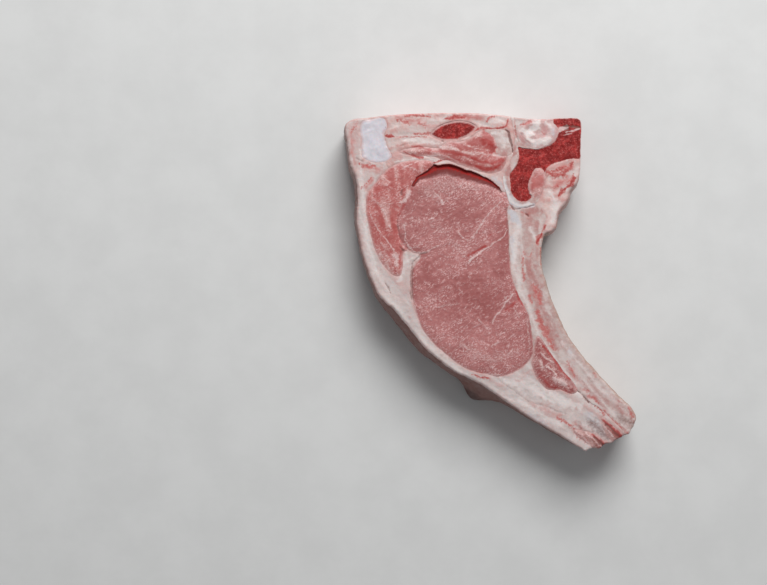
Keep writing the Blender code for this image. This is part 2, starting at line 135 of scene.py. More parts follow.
TAIL_MUSCLE_UPPER = [
    (55.5, -67), (61, -71.5), (67, -76), (74, -79.5), (66, -84), (60, -78), (56, -70.5),
]
TAIL_MUSCLE_LOWER = [
    (41.5, -74), (49.5, -75), (57, -78.5), (62, -83), (54, -89), (50, -81.5), (43.5, -77),
]
CARTILAGE = [
    (-64, 80), (-60, 81.3), (-53, 81.8), (-51.5, 78), (-53.5, 73), (-54, 70.5), (-50, 65.5),
    (-49, 62.5), (-53, 60), (-59, 60), (-63.5, 62.5), (-64, 66), (-64, 70.5), (-65, 75),
]
FACET = [
    (-3, 76), (7, 76), (9.5, 74.5), (11, 69.5), (11, 64.5), (6, 63), (1.5, 64.5), (3.5, 68),
    (2, 72.5),
]
MARROW = [
    (33, 84), (47, 90), (52, 84), (50, 67), (40.5, 64), (31.5, 60), (21, 58), (18, 55),
    (17, 50.5), (18.5, 46), (21, 43), (19, 40.5), (14.5, 40.5), (11, 44), (10, 50), (10, 54),
    (13, 58.5), (14.5, 64), (14, 67.5), (18.5, 67), (25.5, 67), (31, 69.5), (33.5, 72.5),
    (34, 76.5), (31.5, 80),
]
VERTEBRA = [
    (11, 86), (33, 90), (54, 90), (54, 63.5), (38, 61), (29, 57), (27.5, 50), (25.5, 43),
    (22, 38), (16, 36), (11, 37.5), (9, 41.5), (7, 49), (7, 54.5), (10.5, 60), (12, 67), (12, 75),
]
RIB = [
    (11, 39.5), (16.5, 38), (21.5, 39), (25.5, 37), (28, 32.5), (27, 26.5), (32, 23), (30.5, 10),
    (34, -3), (38.5, -13.5), (47, -30.5), (56, -40.5), (68.5, -53), (80, -64), (79, -76),
    (71, -79), (64, -72), (56.5, -64.5), (49, -59), (43.5, -53.5), (35, -41), (28, -31),
    (24, -24.5), (19, -15), (12, -1), (7.5, 10), (7, 21), (8, 33.5),
]
CHINE_FAT = [
    (24, 57.5), (33, 62), (50, 68.5), (60, 53.5), (52, 34), (40, 25), (31, 21), (25.5, 24.5),
    (25.5, 31), (28, 37.5), (25, 41), (22, 43),
]
BACK_FAT = [
    (-52.5, 90), (-30, 93), (15, 92), (13, 71), (11, 58.5), (8.5, 45), (0, 49), (-15, 55.5),
    (-25, 58), (-35, 60.5), (-44, 58.5), (-51, 57), (-51, 66), (-53, 73.5),
]

# Which way the loin eye's fibres run
FIBRE_TILT = math.radians(34.0)

# How bright a white face shows under the scene's light, and the palest that a surface may be
LIGHT_LEVEL = 0.86
PALEST = 0.95

# How far light runs within the tissues, and the shares of that for red, green and blue
SUBSURFACE_DEPTH = 1.2
SUBSURFACE_RADIUS = (1.0, 0.35, 0.25)

# The picture's frame: the camera looks straight down, and half a millimetre shows as one pixel
PICTURE_WIDTH = 767
VIEW_CENTRE = (-53.3, -5.15)
VIEW_HEIGHT = 677.6
MM_PER_PIXEL = 0.5
SENSOR = 36.0

# The light, the floor and the world, in metres
WINDOW_PLACE = (0.18, 0.95, 0.95)
WINDOW_SIZE = 0.8
WINDOW_POWER = 18.5
FLOOR_GREYS = ((0.7, 0.7, 0.69, 1.0), (0.74, 0.74, 0.73, 1.0))
FLOOR_HALF = 1.6
FLOOR_GAP = 0.00005
WORLD_COLOUR = (0.95, 0.97, 1.0, 1.0)
WORLD_STRENGTH = 0.23

# How fine the pieces are, in millimetres
STEP = 0.45
FINE_STEP = 0.8 * STEP
GRID_GAP = 0.6 * STEP
LONGEST_STEP = 1.1 * STEP
THINNEST_MARK = 0.5 * STEP
SIDE_LAYERS = 18
PROFILE_SAMPLES = 201
PROFILE_BLUR = 27
SPINDLE_POINTS = 24
SAME_PLACE = 1e-5
SHARP_ANGLE = math.radians(50.0)

# The tables of random numbers are this wide, and the places are moved far into them
NOISE_TABLE = 128
NOISE_SHIFT = 500.0

# The tissues' borders waver by this much, the sawn back edge less, and the marks more
WAVER = 0.45
WAVER_SIZE = 4.0
SAWN_LEVEL = 76.0
SAWN_MARGIN = 6.0
SAWN_SHARE = 0.25
MARK_WAVER = 0.55
MARK_WAVER_SIZE = 2.6
MARK_BREADTH_SIZE = 1.6
MARK_NARROWEST = 0.35
MARK_BREADTH = 1.2

# The end of the tail is frayed
TAIL_END = (64.0, -80.0)
FRAY = 0.8
FRAY_REACH = 13.0
FRAY_SIZE = 3.0

# How far the upper rim is rounded off, where it is sawn and where it swells
SAWN_ROUND = 0.6
SWOLLEN_ROUND = 1.5
ROUNDNESS = 0.72

# How much tan skin shows along the rim of the cut face, and how wide
TAN_SHARE = 0.32
TAN_EDGE = 2.4

# How much skin the wall has where it swells, which the cover fat darkens as painted shade, and how far
# from any border it counts as lying
SHADED_SKIN_SHARE = 0.8
SWELL_SHARE = 1.2
WALL_EDGE = 3.0

# The lumps of the wall, and how many of them the sawn wall has
WALL_LUMPS = (0.5, 6.0, 101)
SAWN_LUMPS = 0.2

# The ways in which the tissues' strands run
RIB_FLOW = [(14, 60), (16, 38), (16, 20), (18, 4), (23, -9), (31, -25), (42, -41.5), (55, -55.5),
            (68, -68), (78, -78)]
SKIN_FLOW = [(-70, 90), (-68, 62), (-65.5, 40), (-62.5, 15), (-56, 0), (-45, -14), (-33, -30),
             (-14, -45), (10, -59), (36, -75), (56, -88)]
BAND_FLOW = [(-64, 56), (-52, 59.5), (-42, 62.5), (-30, 65), (-18, 65), (-8, 62), (2, 57), (8, 50),
             (9, 40)]
BACK_FLOW = [(-70, 71), (-40, 74), (-20, 76), (0, 79), (20, 80)]
CHINE_FLOW = [(18, 60), (28, 55), (38, 55), (46, 60)]
EYE_FLOW = [(-60, -30), (60, 30)]
FLOWS = {
    "rib_bone": RIB_FLOW, "rib_muscle": RIB_FLOW, "tail_muscle_upper": RIB_FLOW,
    "tail_muscle_lower": RIB_FLOW, "vertebra_bone": RIB_FLOW, "fat_cover": SKIN_FLOW,
    "cap_muscle": SKIN_FLOW, "back_fat": BAND_FLOW, "upper_muscle": BAND_FLOW,
    "feather_bone": BACK_FLOW, "facet_bone": BACK_FLOW, "spinal_canal": BACK_FLOW,
    "chine_fat": CHINE_FLOW,
}

# Marks on the cut face. Each is a strength and a line of places, with half its width at each.
# Red is blood, pale is white tissue and in places painted glints, and pink and blue are tints.
# Dark is dark seams and painted shade in creases and over shadowed patches; blue also paints a few
# glares.
EYE_MARKS = {
    "pale": [
        (0.85, [(-40.6, 45.4, 1.3), (-41.3, 43, 1.2), (-43.4, 40, 1.1), (-45.3, 39.5, 0.6)]),
        (0.77, [(-28, 45, 0.5), (-26, 43, 0.7), (-24, 40.5, 0.7), (-23.5, 39, 0.8), (-21, 41.5, 0.5)]),
        (0.68, [(-30.3, 31, 0.5), (-27.5, 32.5, 0.8), (-26, 34.5, 0.5)]),
        (0.59, [(6, 40, 0.6), (2.5, 37.5, 0.7), (-1, 33.8, 0.6), (-4, 29.5, 0.8), (-7, 24.5, 0.8),
                (-9.8, 20.5, 0.6)]),
        (0.51, [(-16, 25, 0.6), (-14, 22.5, 0.7), (-11, 20.5, 0.6)]),
        (0.85, [(9, 26.5, 0.5), (6.5, 22.5, 0.6), (2.5, 20, 0.7), (-1.5, 17, 0.6), (-5.3, 14.5, 0.8),
                (-8.5, 12, 0.8), (-11, 9.5, 0.5)]),
        (0.68, [(-43, 29, 0.5), (-42, 24.5, 0.5), (-42.5, 21.5, 0.6), (-40.3, 17.5, 0.8),
                (-38.5, 15, 0.8), (-34.8, 14.2, 0.7), (-30.7, 15.5, 0.7), (-26, 18.3, 0.5)]),
        (0.51, [(-46, 24, 0.5), (-44.8, 20, 0.6), (-42.5, 16.5, 0.6)]),
        # The next three weak, broad marks are painted glints over the eye's upper part
        (0.28, [(-32, 46.5, 6), (-20, 49, 6.5), (-8, 48, 5)]),
        (0.25, [(-29.5, 29, 4), (-22, 24.5, 4)]),
        (0.25, [(-20.5, 21, 4), (-12, 14, 4)]),
        (0.77, [(11, -6.3, 1.4), (9, -9, 1.1), (7.5, -10.5, 0.9), (4.8, -15, 0.8), (3, -17, 0.7),
                (1, -20.5, 0.5)]),
        (0.68, [(7, -7.5, 0.8), (7.6, -8, 0.7)]),
        (0.51, [(12.5, -14.5, 0.5), (16.5, -21.3, 0.5)]),
        (0.42, [(-27.5, -13, 0.6), (-21, -11.5, 0.7), (-15.3, -10.5, 0.5)]),
        (0.51, [(-10.7, -24.5, 0.6), (-5.7, -20.8, 0.6)]),
        (0.51, [(-5.7, -18.5, 0.6), (-0.7, -24, 0.6)]),
        (0.42, [(-9, -33.8, 0.6), (-2, -33.8, 0.6)]),
        (0.51, [(0.5, -31.8, 0.6), (4.3, -30, 0.6)]),
        (0.77, [(18.9, -24.5, 0.7), (19.1, -25, 0.6)]),
        # Painted glints along the eye's right rim
        (0.35, [(18.5, -17, 1.2), (19.6, -28, 1.2), (19.5, -37, 1.2)]),
        (0.42, [(-38, -9, 0.7), (-37, -19.5, 0.7)]),
        (0.51, [(-1.5, -46.2, 1), (5, -46.2, 1)]),
        (0.77, [(-46, 55, 0.5), (-41, 58.3, 0.5), (-36, 60.6, 0.5)]),
        (0.77, [(-57.5, 28.5, 0.5), (-54.5, 24.5, 0.5), (-51, 19.5, 0.7), (-48, 15.8, 0.6)]),
        (0.68, [(-55, 38, 0.6), (-52.5, 33.5, 0.5), (-51, 29.5, 0.5), (-49.5, 26.5, 0.5)]),
        (0.51, [(-60, 35, 0.6), (-58.5, 31, 0.6), (-57, 27.5, 0.6)]),
        (0.47, [(-59, 41, 1.4), (-56.5, 39.8, 1.9), (-54.5, 38, 1.4)]),
        (0.42, [(-57.3, 35.5, 1.5), (-56.5, 35, 1.5)]),
        (0.42, [(-54.5, 36.2, 1.3), (-53, 36, 1.3)]),
        (0.77, [(-47.2, 13.3, 2.2), (-46.6, 11, 2), (-46.2, 8.7, 1.5)]),
        (0.35, [(-55, 14.5, 3.2), (-52, 9.5, 3.4), (-50, 6.5, 2)]),
        (0.4, [(-54, 18.5, 2.6), (-51, 16.5, 2.2)]),
        (0.68, [(-54.5, 53.4, 0.6), (-52.5, 52, 0.7), (-50, 49.6, 0.6)]),
        (0.42, [(-57, 49.5, 0.8), (-52.5, 49, 0.8), (-49, 46.5, 0.7)]),
        (0.4, [(-44, 58.6, 1.2), (-38, 57, 1.4), (-36, 54.5, 1)]),
        (0.3, [(-14, -31.5, 4.5), (1, -40, 5), (14, -34, 3.5)]),
        (0.3, [(-32.5, 46, 3.5), (-25, 41, 4)]),
        (0.25, [(-56, 18.5, 4), (-51, 10, 3.5)]),
        (0.35, [(-53, 16, 2.5), (-50, 10, 2.5)]),
    ],
    "red": [
        (0.45, [(-36.5, 51.5, 1.1), (-38.5, 47.5, 1), (-40.5, 43.5, 0.8)]),
        (0.5, [(-42.8, 38.6, 0.8), (-44.6, 35.5, 0.9), (-46, 33, 0.7)]),
        (0.45, [(8.5, -12.5, 2.8), (9.5, -14, 2.2)]),
        (0.6, [(8, -22.5, 0.8), (8.4, -22.7, 0.8)]),
        (0.7, [(13, -4.5, 0.9), (14.3, -8, 0.9), (16.5, -12, 0.7)]),
        (0.75, [(-11, 13.4, 0.9), (-6, 15.8, 1.2), (-2, 18, 0.9)]),
        (0.5, [(-1, 22, 0.7), (1, 24, 0.7)]),
        (0.8, [(-8, -45, 0.8), (-4, -45.4, 0.8)]),
        (0.3, [(-53.8, 31, 1.8), (-51.5, 24, 2)]),
        (0.3, [(-59.5, 45, 1.6), (-59.8, 41, 1.4)]),
        (0.6, [(7.5, -14, 1), (10, -12, 1.5), (12.5, -10.5, 1)]),
        (0.4, [(-56, 46, 2.5), (-49, 48, 2.5)]),
        (0.35, [(-49, 32, 2), (-47, 25, 2)]),
    ],
    "dark": [
        (0.7, [(-0.3, 49.4, 0.8), (3.4, 47.6, 0.8), (5.6, 45, 0.7)]),
        (0.5, [(-34.5, 13.6, 0.7), (-31.5, 14.9, 0.6)]),
        (0.6, [(-38.4, 9.5, 0.6), (-38.8, 6.5, 0.7), (-38.9, 1, 0.7), (-39, -9, 0.6)]),
        (0.6, [(-44.1, 45.6, 0.9), (-44.2, 43.6, 0.9)]),
        (0.35, [(8.4, 36, 0.7), (9.2, 23, 0.7), (9.6, 12, 0.7)]),
        (0.6, [(-45, 17.6, 0.6), (-43.6, 15.6, 0.8)]),
        (0.35, [(-46.2, 34, 0.6), (-46.2, 28.5, 0.6), (-44, 18.5, 0.7)]),
    ],
    "pink": [
        (1.1, [(-11, -4, 10), (-1, -11, 10)]),
        (0.7, [(19, -15, 3), (21, -25, 4), (20.5, -37, 4)]),
        (0.6, [(-52.5, 33, 5), (-50, 20, 5)]),
        (0.5, [(6, 30, 5), (7.5, 16, 5), (6, 4, 5)]),
        (0.5, [(-26, 35, 7), (-14, 33, 8)]),
        (0.6, [(-33, 8, 4), (-30, 0, 5)]),
        (0.5, [(-33, 48, 3), (-42, 35, 2)]),
    ],
}
BACK_MARKS = {
    "pale": [
        (0.6, [(-42.5, 70.5, 1.5), (-37.5, 71, 2.5), (-31, 70, 2.5), (-26, 69, 1.5)]),
        (0.7, [(-25, 67.5, 1), (-21, 67.5, 2), (-16, 66, 1)]),
        (0.7, [(-48, 60, 0.8), (-42, 61, 0.8), (-35.5, 62, 0.8), (-25, 63.5, 0.8)]),
        (0.5, [(-45, 57.5, 0.8), (-37.5, 60, 0.8), (-30, 61, 0.8), (-22.5, 59.5, 1)]),
        (0.5, [(-20, 58, 1), (-12.5, 56, 1.5), (-6, 54.5, 1.5), (-1.5, 52.5, 1.5)]),
        (0.5, [(1, 80.5, 2.5), (4, 81, 3.5), (7, 80.5, 2.5)]),
        (0.45, [(0.5, 74.5, 2), (5, 74, 3.5), (7.5, 70.5, 3), (7, 67, 2)]),
        (0.4, [(-17.5, 71, 0.8), (-12.5, 68.5, 0.8), (-5, 66, 0.8)]),
        (0.5, [(-11, 65, 0.8), (-2.5, 64, 0.8), (5, 63, 0.8)]),
        (0.5, [(-29, 65, 0.8), (-22.5, 63, 0.8), (-16, 60, 0.8)]),
    ],
    "red": [
        (0.5, [(-42, 83, 1.5), (-36, 83.5, 1.8), (-30, 82.5, 1.5)]),
        (0.8, [(-22, 81.5, 1.2), (-17.5, 82.5, 1.8), (-13, 82, 1.2)]),
        (0.45, [(-46, 80.5, 1.5), (-40.5, 79.5, 1.8)]),
        (0.45, [(-35.5, 79, 1.4), (-32.5, 78, 1.4)]),
        (0.9, [(-51.5, 72.8, 1.8), (-48.5, 72.8, 1)]),
        (0.45, [(-48, 72.8, 0.8), (-40, 72.5, 0.8), (-31.5, 72.8, 0.8)]),
        (0.5, [(-38.5, 74, 1), (-33, 74, 1.2), (-29.5, 74.5, 1.2)]),
        (0.6, [(-39, 67.5, 1.2), (-34.5, 67, 1.5), (-29.5, 66, 1.2)]),
        (0.7, [(-43, 65.5, 1), (-40.5, 64, 1)]),
        (0.7, [(-41.5, 64, 1), (-37.5, 63, 1), (-33.5, 62, 1)]),
        (0.7, [(-4.5, 77, 0.8), (5.5, 77, 0.8), (8, 78, 0.8), (9.2, 81.5, 0.8)]),
        (1.1, [(-1.5, 73.5, 3), (-0.5, 70, 4.2), (1.5, 66, 3)]),
        (0.85, [(-9.5, 62, 1.2), (-4, 60, 1.8), (1, 59.5, 1.8), (6, 61, 1.2)]),
        (0.85, [(-7, 58, 1.2), (-3, 56.5, 1.5), (2, 57, 1.5), (5, 58.5, 1)]),
        (0.8, [(-6, 76.5, 1.5), (-10, 75.5, 1.2)]),
        (0.6, [(-28.5, 59.5, 0.8), (-22.5, 61, 0.8), (-15, 61, 1)]),
        (0.6, [(11.8, 79, 0.8), (11.9, 78.8, 0.8)]),
        (0.6, [(13.5, 70.5, 0.8), (13.6, 70.2, 0.8)]),
        (0.6, [(-1.5, 80.5, 1), (0, 82.5, 1.2), (2, 83, 1)]),
        (0.5, [(-25, 66, 1), (-17.5, 64, 1.5), (-11, 63, 1)]),
    ],
    "dark": [
        (0.9, [(7.5, 76.2, 0.6), (9.2, 74.7, 0.7), (10, 71.2, 0.8), (11, 68, 0.7), (11.4, 65, 0.6)]),
        (0.8, [(-24, 70.5, 0.8), (-23.5, 70.5, 0.8)]),
        (0.5, [(-31, 58, 1), (-28, 58.8, 1)]),
        (0.3, [(-45, 68, 0.6), (-39, 69.5, 0.6)]),
    ],
    "pink": [
        (1.1, [(-19, 82, 2.5), (-12.5, 82.5, 3.5), (-5, 82, 2.5)]),
        (0.9, [(-47, 83, 2), (-40, 80.5, 3), (-33, 81.5, 3)]),
        (0.7, [(-30, 82.5, 2), (-25, 83, 2.5)]),
        (0.8, [(-20, 68, 3.5), (-14, 68.5, 4), (-7.5, 69.5, 4), (-2, 70.5, 3)]),
        (0.9, [(11.5, 82, 2), (12, 76, 2), (13, 70, 2)]),
        (0.5, [(-46, 66, 2.5), (-40, 65, 2.5)]),
        (0.6, [(7, 65, 2.5), (7.5, 58.5, 2.5), (5, 54, 2)]),
        (0.5, [(-53.5, 83, 2), (-51, 77.5, 2)]),
    ],
    "blue": [
        (0.5, [(1, 52, 1.5), (5, 49.5, 2), (7.5, 46, 2)]),
    ],
}
MARROW_MARKS = {
    "pale": [
        (1, [(32, 75.3, 1.2), (35, 76.4, 1.4), (38.5, 77.6, 1.2)]),
        (0.55, [(38, 75.2, 0.8), (41, 75.8, 1), (44.5, 76.8, 0.9)]),
        (0.4, [(37, 73.5, 0.8), (41, 74.5, 0.8)]),
    ],
    "dark": [
        (0.8, [(36.8, 78.2, 0.6), (39.8, 78, 0.9), (43, 77.8, 1), (44.8, 77.3, 0.7)]),
        (0.6, [(37.5, 76.3, 0.5), (39.5, 76.8, 0.6)]),
    ],
}
CANAL_MARKS = {
    "pale": [
        # The first is the canal's white, with a painted highlight in it
        (1.1, [(16.5, 75.5, 1.8), (19.5, 74.5, 2.8), (22.5, 77, 3), (24, 79.5, 2.5)]),
        (0.9, [(19, 71.5, 2), (23, 70, 3), (27.5, 70, 2.5), (30, 72, 1.5)]),
        (0.6, [(28, 80, 1.5), (30, 78, 1.5)]),
    ],
    "red": [
        (0.75, [(15, 78.5, 1.2), (17.5, 78.5, 1.6), (20, 80.2, 1.4)]),
        (0.35, [(25.5, 75.5, 1), (27.5, 73.5, 1.2)]),
    ],
    "pink": [
        (0.8, [(26.5, 77.5, 1.5), (28, 75, 2), (27, 73, 1.5)]),
        (0.8, [(15.5, 73, 1.5), (16.5, 70, 1.5)]),
        (0.6, [(31.5, 79, 1.5), (31.5, 75.5, 1.5)]),
    ],
    "blue": [
        # A painted bluish highlight on the canal
        (0.6, [(19.5, 75, 1.2), (22, 76, 1.2)]),
        (0.4, [(31.5, 76.5, 1.5), (31.5, 74, 1.5)]),
    ],
    "dark": [
        (0.3, [(15.5, 74, 0.6), (17.5, 71, 0.6), (20, 69, 0.6)]),
    ],
}
RIB_MARKS = {
    "pale": [
        (0.9, [(43.5, 65, 0.7), (39, 63, 0.7), (34, 61, 0.7), (25.5, 58.8, 0.7), (20.5, 57.5, 0.8),
               (17.8, 54.5, 0.8), (17.4, 49.8, 0.8), (18.7, 45.5, 0.8), (21.7, 42.8, 0.7)]),
        (0.6, [(6.5, 52, 1), (8, 46, 1.2), (10, 40.5, 1.2), (15, 38, 1.2), (20.5, 39, 1)]),
        (0.7, [(30, 45, 2.5), (33.5, 38.5, 3.5), (31, 30, 3)]),
        (0.5, [(33, 61, 1.5), (38, 62, 2), (42.5, 63, 1.5)]),
        (0.5, [(13.5, 28, 3), (13, 18.5, 3.4), (12, 10, 3)]),
        (0.45, [(11.5, 8, 3), (13.3, 3, 3.4), (15.5, -4, 3.4), (19, -12, 3), (22, -20, 2.8),
                (25, -28, 2.6), (30, -35, 2.6), (36, -43, 2.6), (42.5, -51, 2.6)]),
        (0.4, [(36, -30, 1.5), (41, -37, 2), (47.5, -44, 2), (55, -53, 2.5), (63, -60, 2.5)]),
        (0.4, [(47, -49, 1.5), (51, -54, 2), (57.5, -61.5, 2.5), (64, -67.5, 2.5)]),
        (0.5, [(20, 27, 2), (23, 21, 1.5)]),
    ],
    "red": [
        (0.65, [(41.5, 59.7, 1.8), (39.5, 56.5, 2.4), (36, 53.5, 2.4), (31.5, 53.2, 2), (28, 55.2, 1.6)]),
        (0.6, [(38, 58, 1), (35, 56, 1.5), (31, 55.5, 1)]),
        (0.75, [(42.5, 52, 2), (40, 48.5, 2.4), (36.8, 45.8, 1.8), (34.2, 42.8, 1.2)]),
        (0.8, [(33.5, 48, 1), (33.8, 47.8, 1)]),
        (1, [(23.2, 19.5, 1.2), (24.5, 22, 2), (25.8, 24.5, 1.2)]),
        (0.6, [(26, 25.5, 1.5), (27.5, 28, 1.2)]),
        (0.8, [(25.5, 17, 1), (25.8, 13, 1.2), (25.5, 9, 1)]),
        (0.4, [(17.5, 16.5, 1), (17, 13.5, 1.2), (20, 12.5, 1.2), (21.2, 16, 1)]),
        (0.5, [(16.5, 12, 1.5), (16.2, 7, 1.8), (17, 1, 1.5)]),
        (0.6, [(20, 5.5, 0.6), (20.2, 5.2, 0.6)]),
        (0.65, [(22, -2, 2), (24, -6, 2.8), (25, -10.5, 2.3)]),
        (0.6, [(20, -7, 1.6), (21, -11, 1.6)]),
        (0.7, [(23.5, -15, 2.5), (25.5, -20, 3.2), (28, -25.5, 2.6)]),
        (0.6, [(27.5, -26, 2), (30, -30, 2.5), (32, -34, 2)]),
        (0.4, [(38.5, -39.5, 1.8), (41, -44, 2.4), (44, -49, 2)]),
        (0.5, [(47, -53.8, 1.8), (49.5, -54.8, 1.8)]),
        (0.55, [(49.5, -57, 2), (52.5, -58.5, 2.2), (54, -60.5, 1.6)]),
        (0.5, [(56.5, -64, 1.4), (60, -68, 1.8), (65, -72.5, 2), (69, -75.5, 1.6)]),
        (0.4, [(52, -45.5, 1.4), (53, -47, 1.4)]),
        (0.4, [(64, -59, 1.8), (66, -61, 1.8)]),
        (0.55, [(69.5, -63.5, 2), (72, -68, 2.4)]),
        (0.6, [(10, 39, 0.7), (11.5, 36.6, 0.7)]),
        (0.45, [(15.5, 35, 0.8), (19, 33.5, 1), (20, 35, 0.7)]),
        (0.45, [(12, 82, 1), (12.5, 77, 1.1), (13, 72, 1)]),
        (0.3, [(19.5, 53, 1), (21.5, 50, 1.8), (21, 46.5, 1)]),
    ],
    "dark": [
        (0.6, [(10.5, 38.5, 0.6), (11.8, 36.6, 0.6), (15, 36.8, 0.6), (18.2, 37.2, 0.6),
               (21.7, 38.5, 0.6)]),
        (0.6, [(18, 34, 0.7), (19, 33, 0.7)]),
        (0.35, [(12, 78.5, 0.5), (13, 74, 0.5), (14.5, 70, 0.5)]),
        (0.4, [(44, -54.5, 0.6), (46, -56, 0.7), (48, -58.5, 0.7), (49.5, -60.5, 0.6)]),
        # Painted shade over the shadowed end of the rib
        (0.4, [(64, -68, 3), (71, -71, 3.5)]),
    ],
    "pink": [
        (1, [(11.5, 66, 3), (10.5, 58.5, 3), (9, 54, 2)]),
        (0.9, [(11, 80, 2), (12.5, 74, 2)]),
        (1, [(35, 50, 3.5), (30.5, 46, 3), (39, 52, 3)]),
        (0.9, [(25, 52, 3), (27.5, 47.5, 3), (25, 43, 2.5)]),
        (0.6, [(23, 30, 2), (24, 26, 2)]),
        (0.6, [(19, 10, 4), (21.5, 1, 4), (24.5, -8, 4.5), (28.5, -20, 4.5), (32, -31.5, 4)]),
        (0.65, [(41, -44, 2.8), (47.5, -53, 2.8), (57.5, -64, 2.8)]),
        (0.6, [(60, -57, 2), (66, -64, 2), (72, -70, 2)]),
        (0.8, [(34, 58, 3), (41, 57, 3)]),
        (0.8, [(20.5, 54, 3), (22, 50.5, 4), (22, 47, 3)]),
        (0.5, [(18.5, 35, 2), (26.5, 35.5, 2)]),
    ],
    "blue": [
        (0.9, [(7, 50, 1.5), (8, 45, 2), (11, 39.5, 2), (16, 37.5, 1.8), (21, 38.5, 1.5)]),
        (0.9, [(10.5, 35, 2), (12.5, 31, 2.5), (15, 28.5, 1.5)]),
        (0.5, [(11.5, 22, 2), (11.5, 11, 1.5)]),
        # A painted glare on the rib
        (0.5, [(39.5, -34, 1.5), (40.5, -35.5, 1.5)]),
    ],
}
COVER_MARKS = {
    "pale": [
        (0.9, [(7.5, -49, 2.5), (17.5, -52, 3.5), (27.5, -57, 4), (37.5, -60.5, 4), (45, -62, 3)]),
        (0.7, [(15, -59, 2.5), (25, -66, 3), (35, -71, 3)]),
        (0.35, [(51, -68, 2.5), (56, -73, 3), (60.5, -78, 2)]),
        (0.45, [(44, -83, 1.5), (49, -83.5, 2), (53.5, -82, 1.5)]),
        (0.9, [(41, -54, 1.2), (43.5, -55.5, 1.7), (45.5, -57.5, 1.2)]),
        (0.5, [(-65, 66, 2), (-63.5, 41, 3), (-61.5, 21, 3), (-57, 6, 3), (-49, -10, 4), (-39, -25, 3.5),
               (-25, -37, 3), (-10, -49, 2.5)]),
        (0.6, [(-45, 1, 2.5), (-43, 10, 2), (-39, 12, 1.2)]),
    ],
    "red": [
        (0.45, [(-65.5, 59.5, 1.4), (-62, 58, 2.6), (-58, 58, 1.8)]),
        (0.35, [(-59.5, 52, 1.3), (-62, 49, 1.8), (-64, 47, 1.2)]),
        (0.6, [(-9, -46.2, 0.8), (-5, -47.5, 1), (-1, -48, 0.8)]),
        (0.42, [(33.5, -68, 1.4), (38, -70, 1.8), (42.5, -74, 2.2), (46.5, -77.5, 2.5),
                (50.5, -80.5, 2.5)]),
        (0.4, [(49, -55, 1.6), (53, -61, 2), (57, -66, 2)]),
        (0.35, [(-66.5, 79, 1.8), (-69, 75, 1.5)]),
    ],
    "dark": [
        (0.3, [(44, -72, 2.5), (50, -77, 2.5)]),
        (0.45, [(50, -70, 3), (54, -73, 4), (59, -78, 3.5)]),
        (0.22, [(5, -49.5, 0.6), (12, -54.5, 0.7), (20, -60, 0.7), (28, -62, 0.7), (33, -64.5, 0.8),
                (38, -66, 0.7)]),
        (0.8, [(43.2, -53.5, 0.7), (44.5, -55, 0.7)]),
        (0.6, [(45.5, -55.5, 0.6), (47.8, -58.5, 0.7), (49.5, -60.5, 0.6)]),
        (0.5, [(-52.5, 0, 0.6), (-51, -3, 0.8), (-50, -5.5, 0.6)]),
        (0.5, [(-34.5, 13.5, 0.5), (-38.5, 10, 0.7), (-39.5, 6, 0.7), (-39.5, -4, 0.7),
               (-39.5, -9, 0.5)]),
        (0.35, [(-66.5, 62, 1.2), (-63.5, 60.5, 1.2)]),
    ],
    "pink": [
        (0.9, [(43, -71, 2.5), (48, -75.5, 3)]),
        (0.8, [(-69.5, 76, 2), (-69, 66, 2.5), (-67.5, 57, 2.5)]),
        (0.9, [(-62, 58, 3), (-55, 56, 2.5)]),
        (0.8, [(-62, 47.5, 2.5), (-59, 51, 2)]),
        (0.6, [(-61, 41, 1.5), (-62, 30, 1.5)]),
        (0.7, [(-47.5, -27, 2), (-35, -37, 2), (-22.5, -45, 2), (-12.5, -51, 2), (0, -58, 2),
               (11, -64, 2)]),
        (0.5, [(15, -47, 2), (23, -43, 2)]),
        (0.5, [(27.5, -64, 1.5), (35, -67, 2)]),
    ],
    "blue": [
        (0.6, [(49.5, -67, 3), (55, -73, 3.5), (60.5, -78, 3)]),
        (0.4, [(19.5, -66.5, 2.5), (27.5, -70, 2.5)]),
    ],
}
STRIP_MARKS = {
    "pale": [
        # The first three are painted glints on the rib muscle
        (0.8, [(25.5, -35.5, 0.8), (28, -38, 1.1), (31.5, -40, 0.8)]),
        (0.8, [(28, -42, 0.8), (31, -44, 1.1), (33.5, -46.5, 0.8)]),
        (0.7, [(25, -39, 0.7), (26.5, -42.5, 0.8)]),
        (0.9, [(32, -48, 1.5), (35, -49.5, 2.5), (38, -51, 1.5)]),
        (0.9, [(55.5, -64.5, 0.7), (61, -69.5, 0.8), (68, -75, 0.7)]),
        (0.7, [(53.5, -68, 0.8), (58, -73, 1), (61.5, -77.5, 0.8)]),
        (0.7, [(48, -75.5, 0.9), (52.5, -79, 1), (56, -82.5, 0.9)]),
        (0.7, [(42.5, -74, 0.8), (47, -78, 1), (50, -81.5, 0.8)]),
    ],
    "red": [
        (0.8, [(26.5, -32, 0.8), (31, -37, 1.3), (35, -43, 1.5), (40, -49, 1.3)]),
        (0.45, [(25, -47, 1.5), (30, -52, 1.7), (40, -55, 1.5)]),
        (0.9, [(57, -69.5, 1.3), (61.5, -73.5, 1.7), (65, -77, 1.5)]),
        (0.9, [(51, -77, 1.5), (54.5, -79.5, 2), (58, -82, 1.7)]),
        (0.6, [(44, -75.5, 1.2), (48, -79, 1.3)]),
    ],
    "dark": [
        (0.8, [(58, -71, 0.9), (61, -74, 1.2), (64, -77, 1)]),
        (0.9, [(52, -78, 1.1), (55, -80, 1.4), (57, -82, 1.1)]),
        (0.4, [(29, -39, 0.6), (31.5, -42, 0.7)]),
    ],
    "pink": [
        (0.9, [(27.5, -32, 2), (33, -40, 2), (41, -51, 2)]),
    ],
}
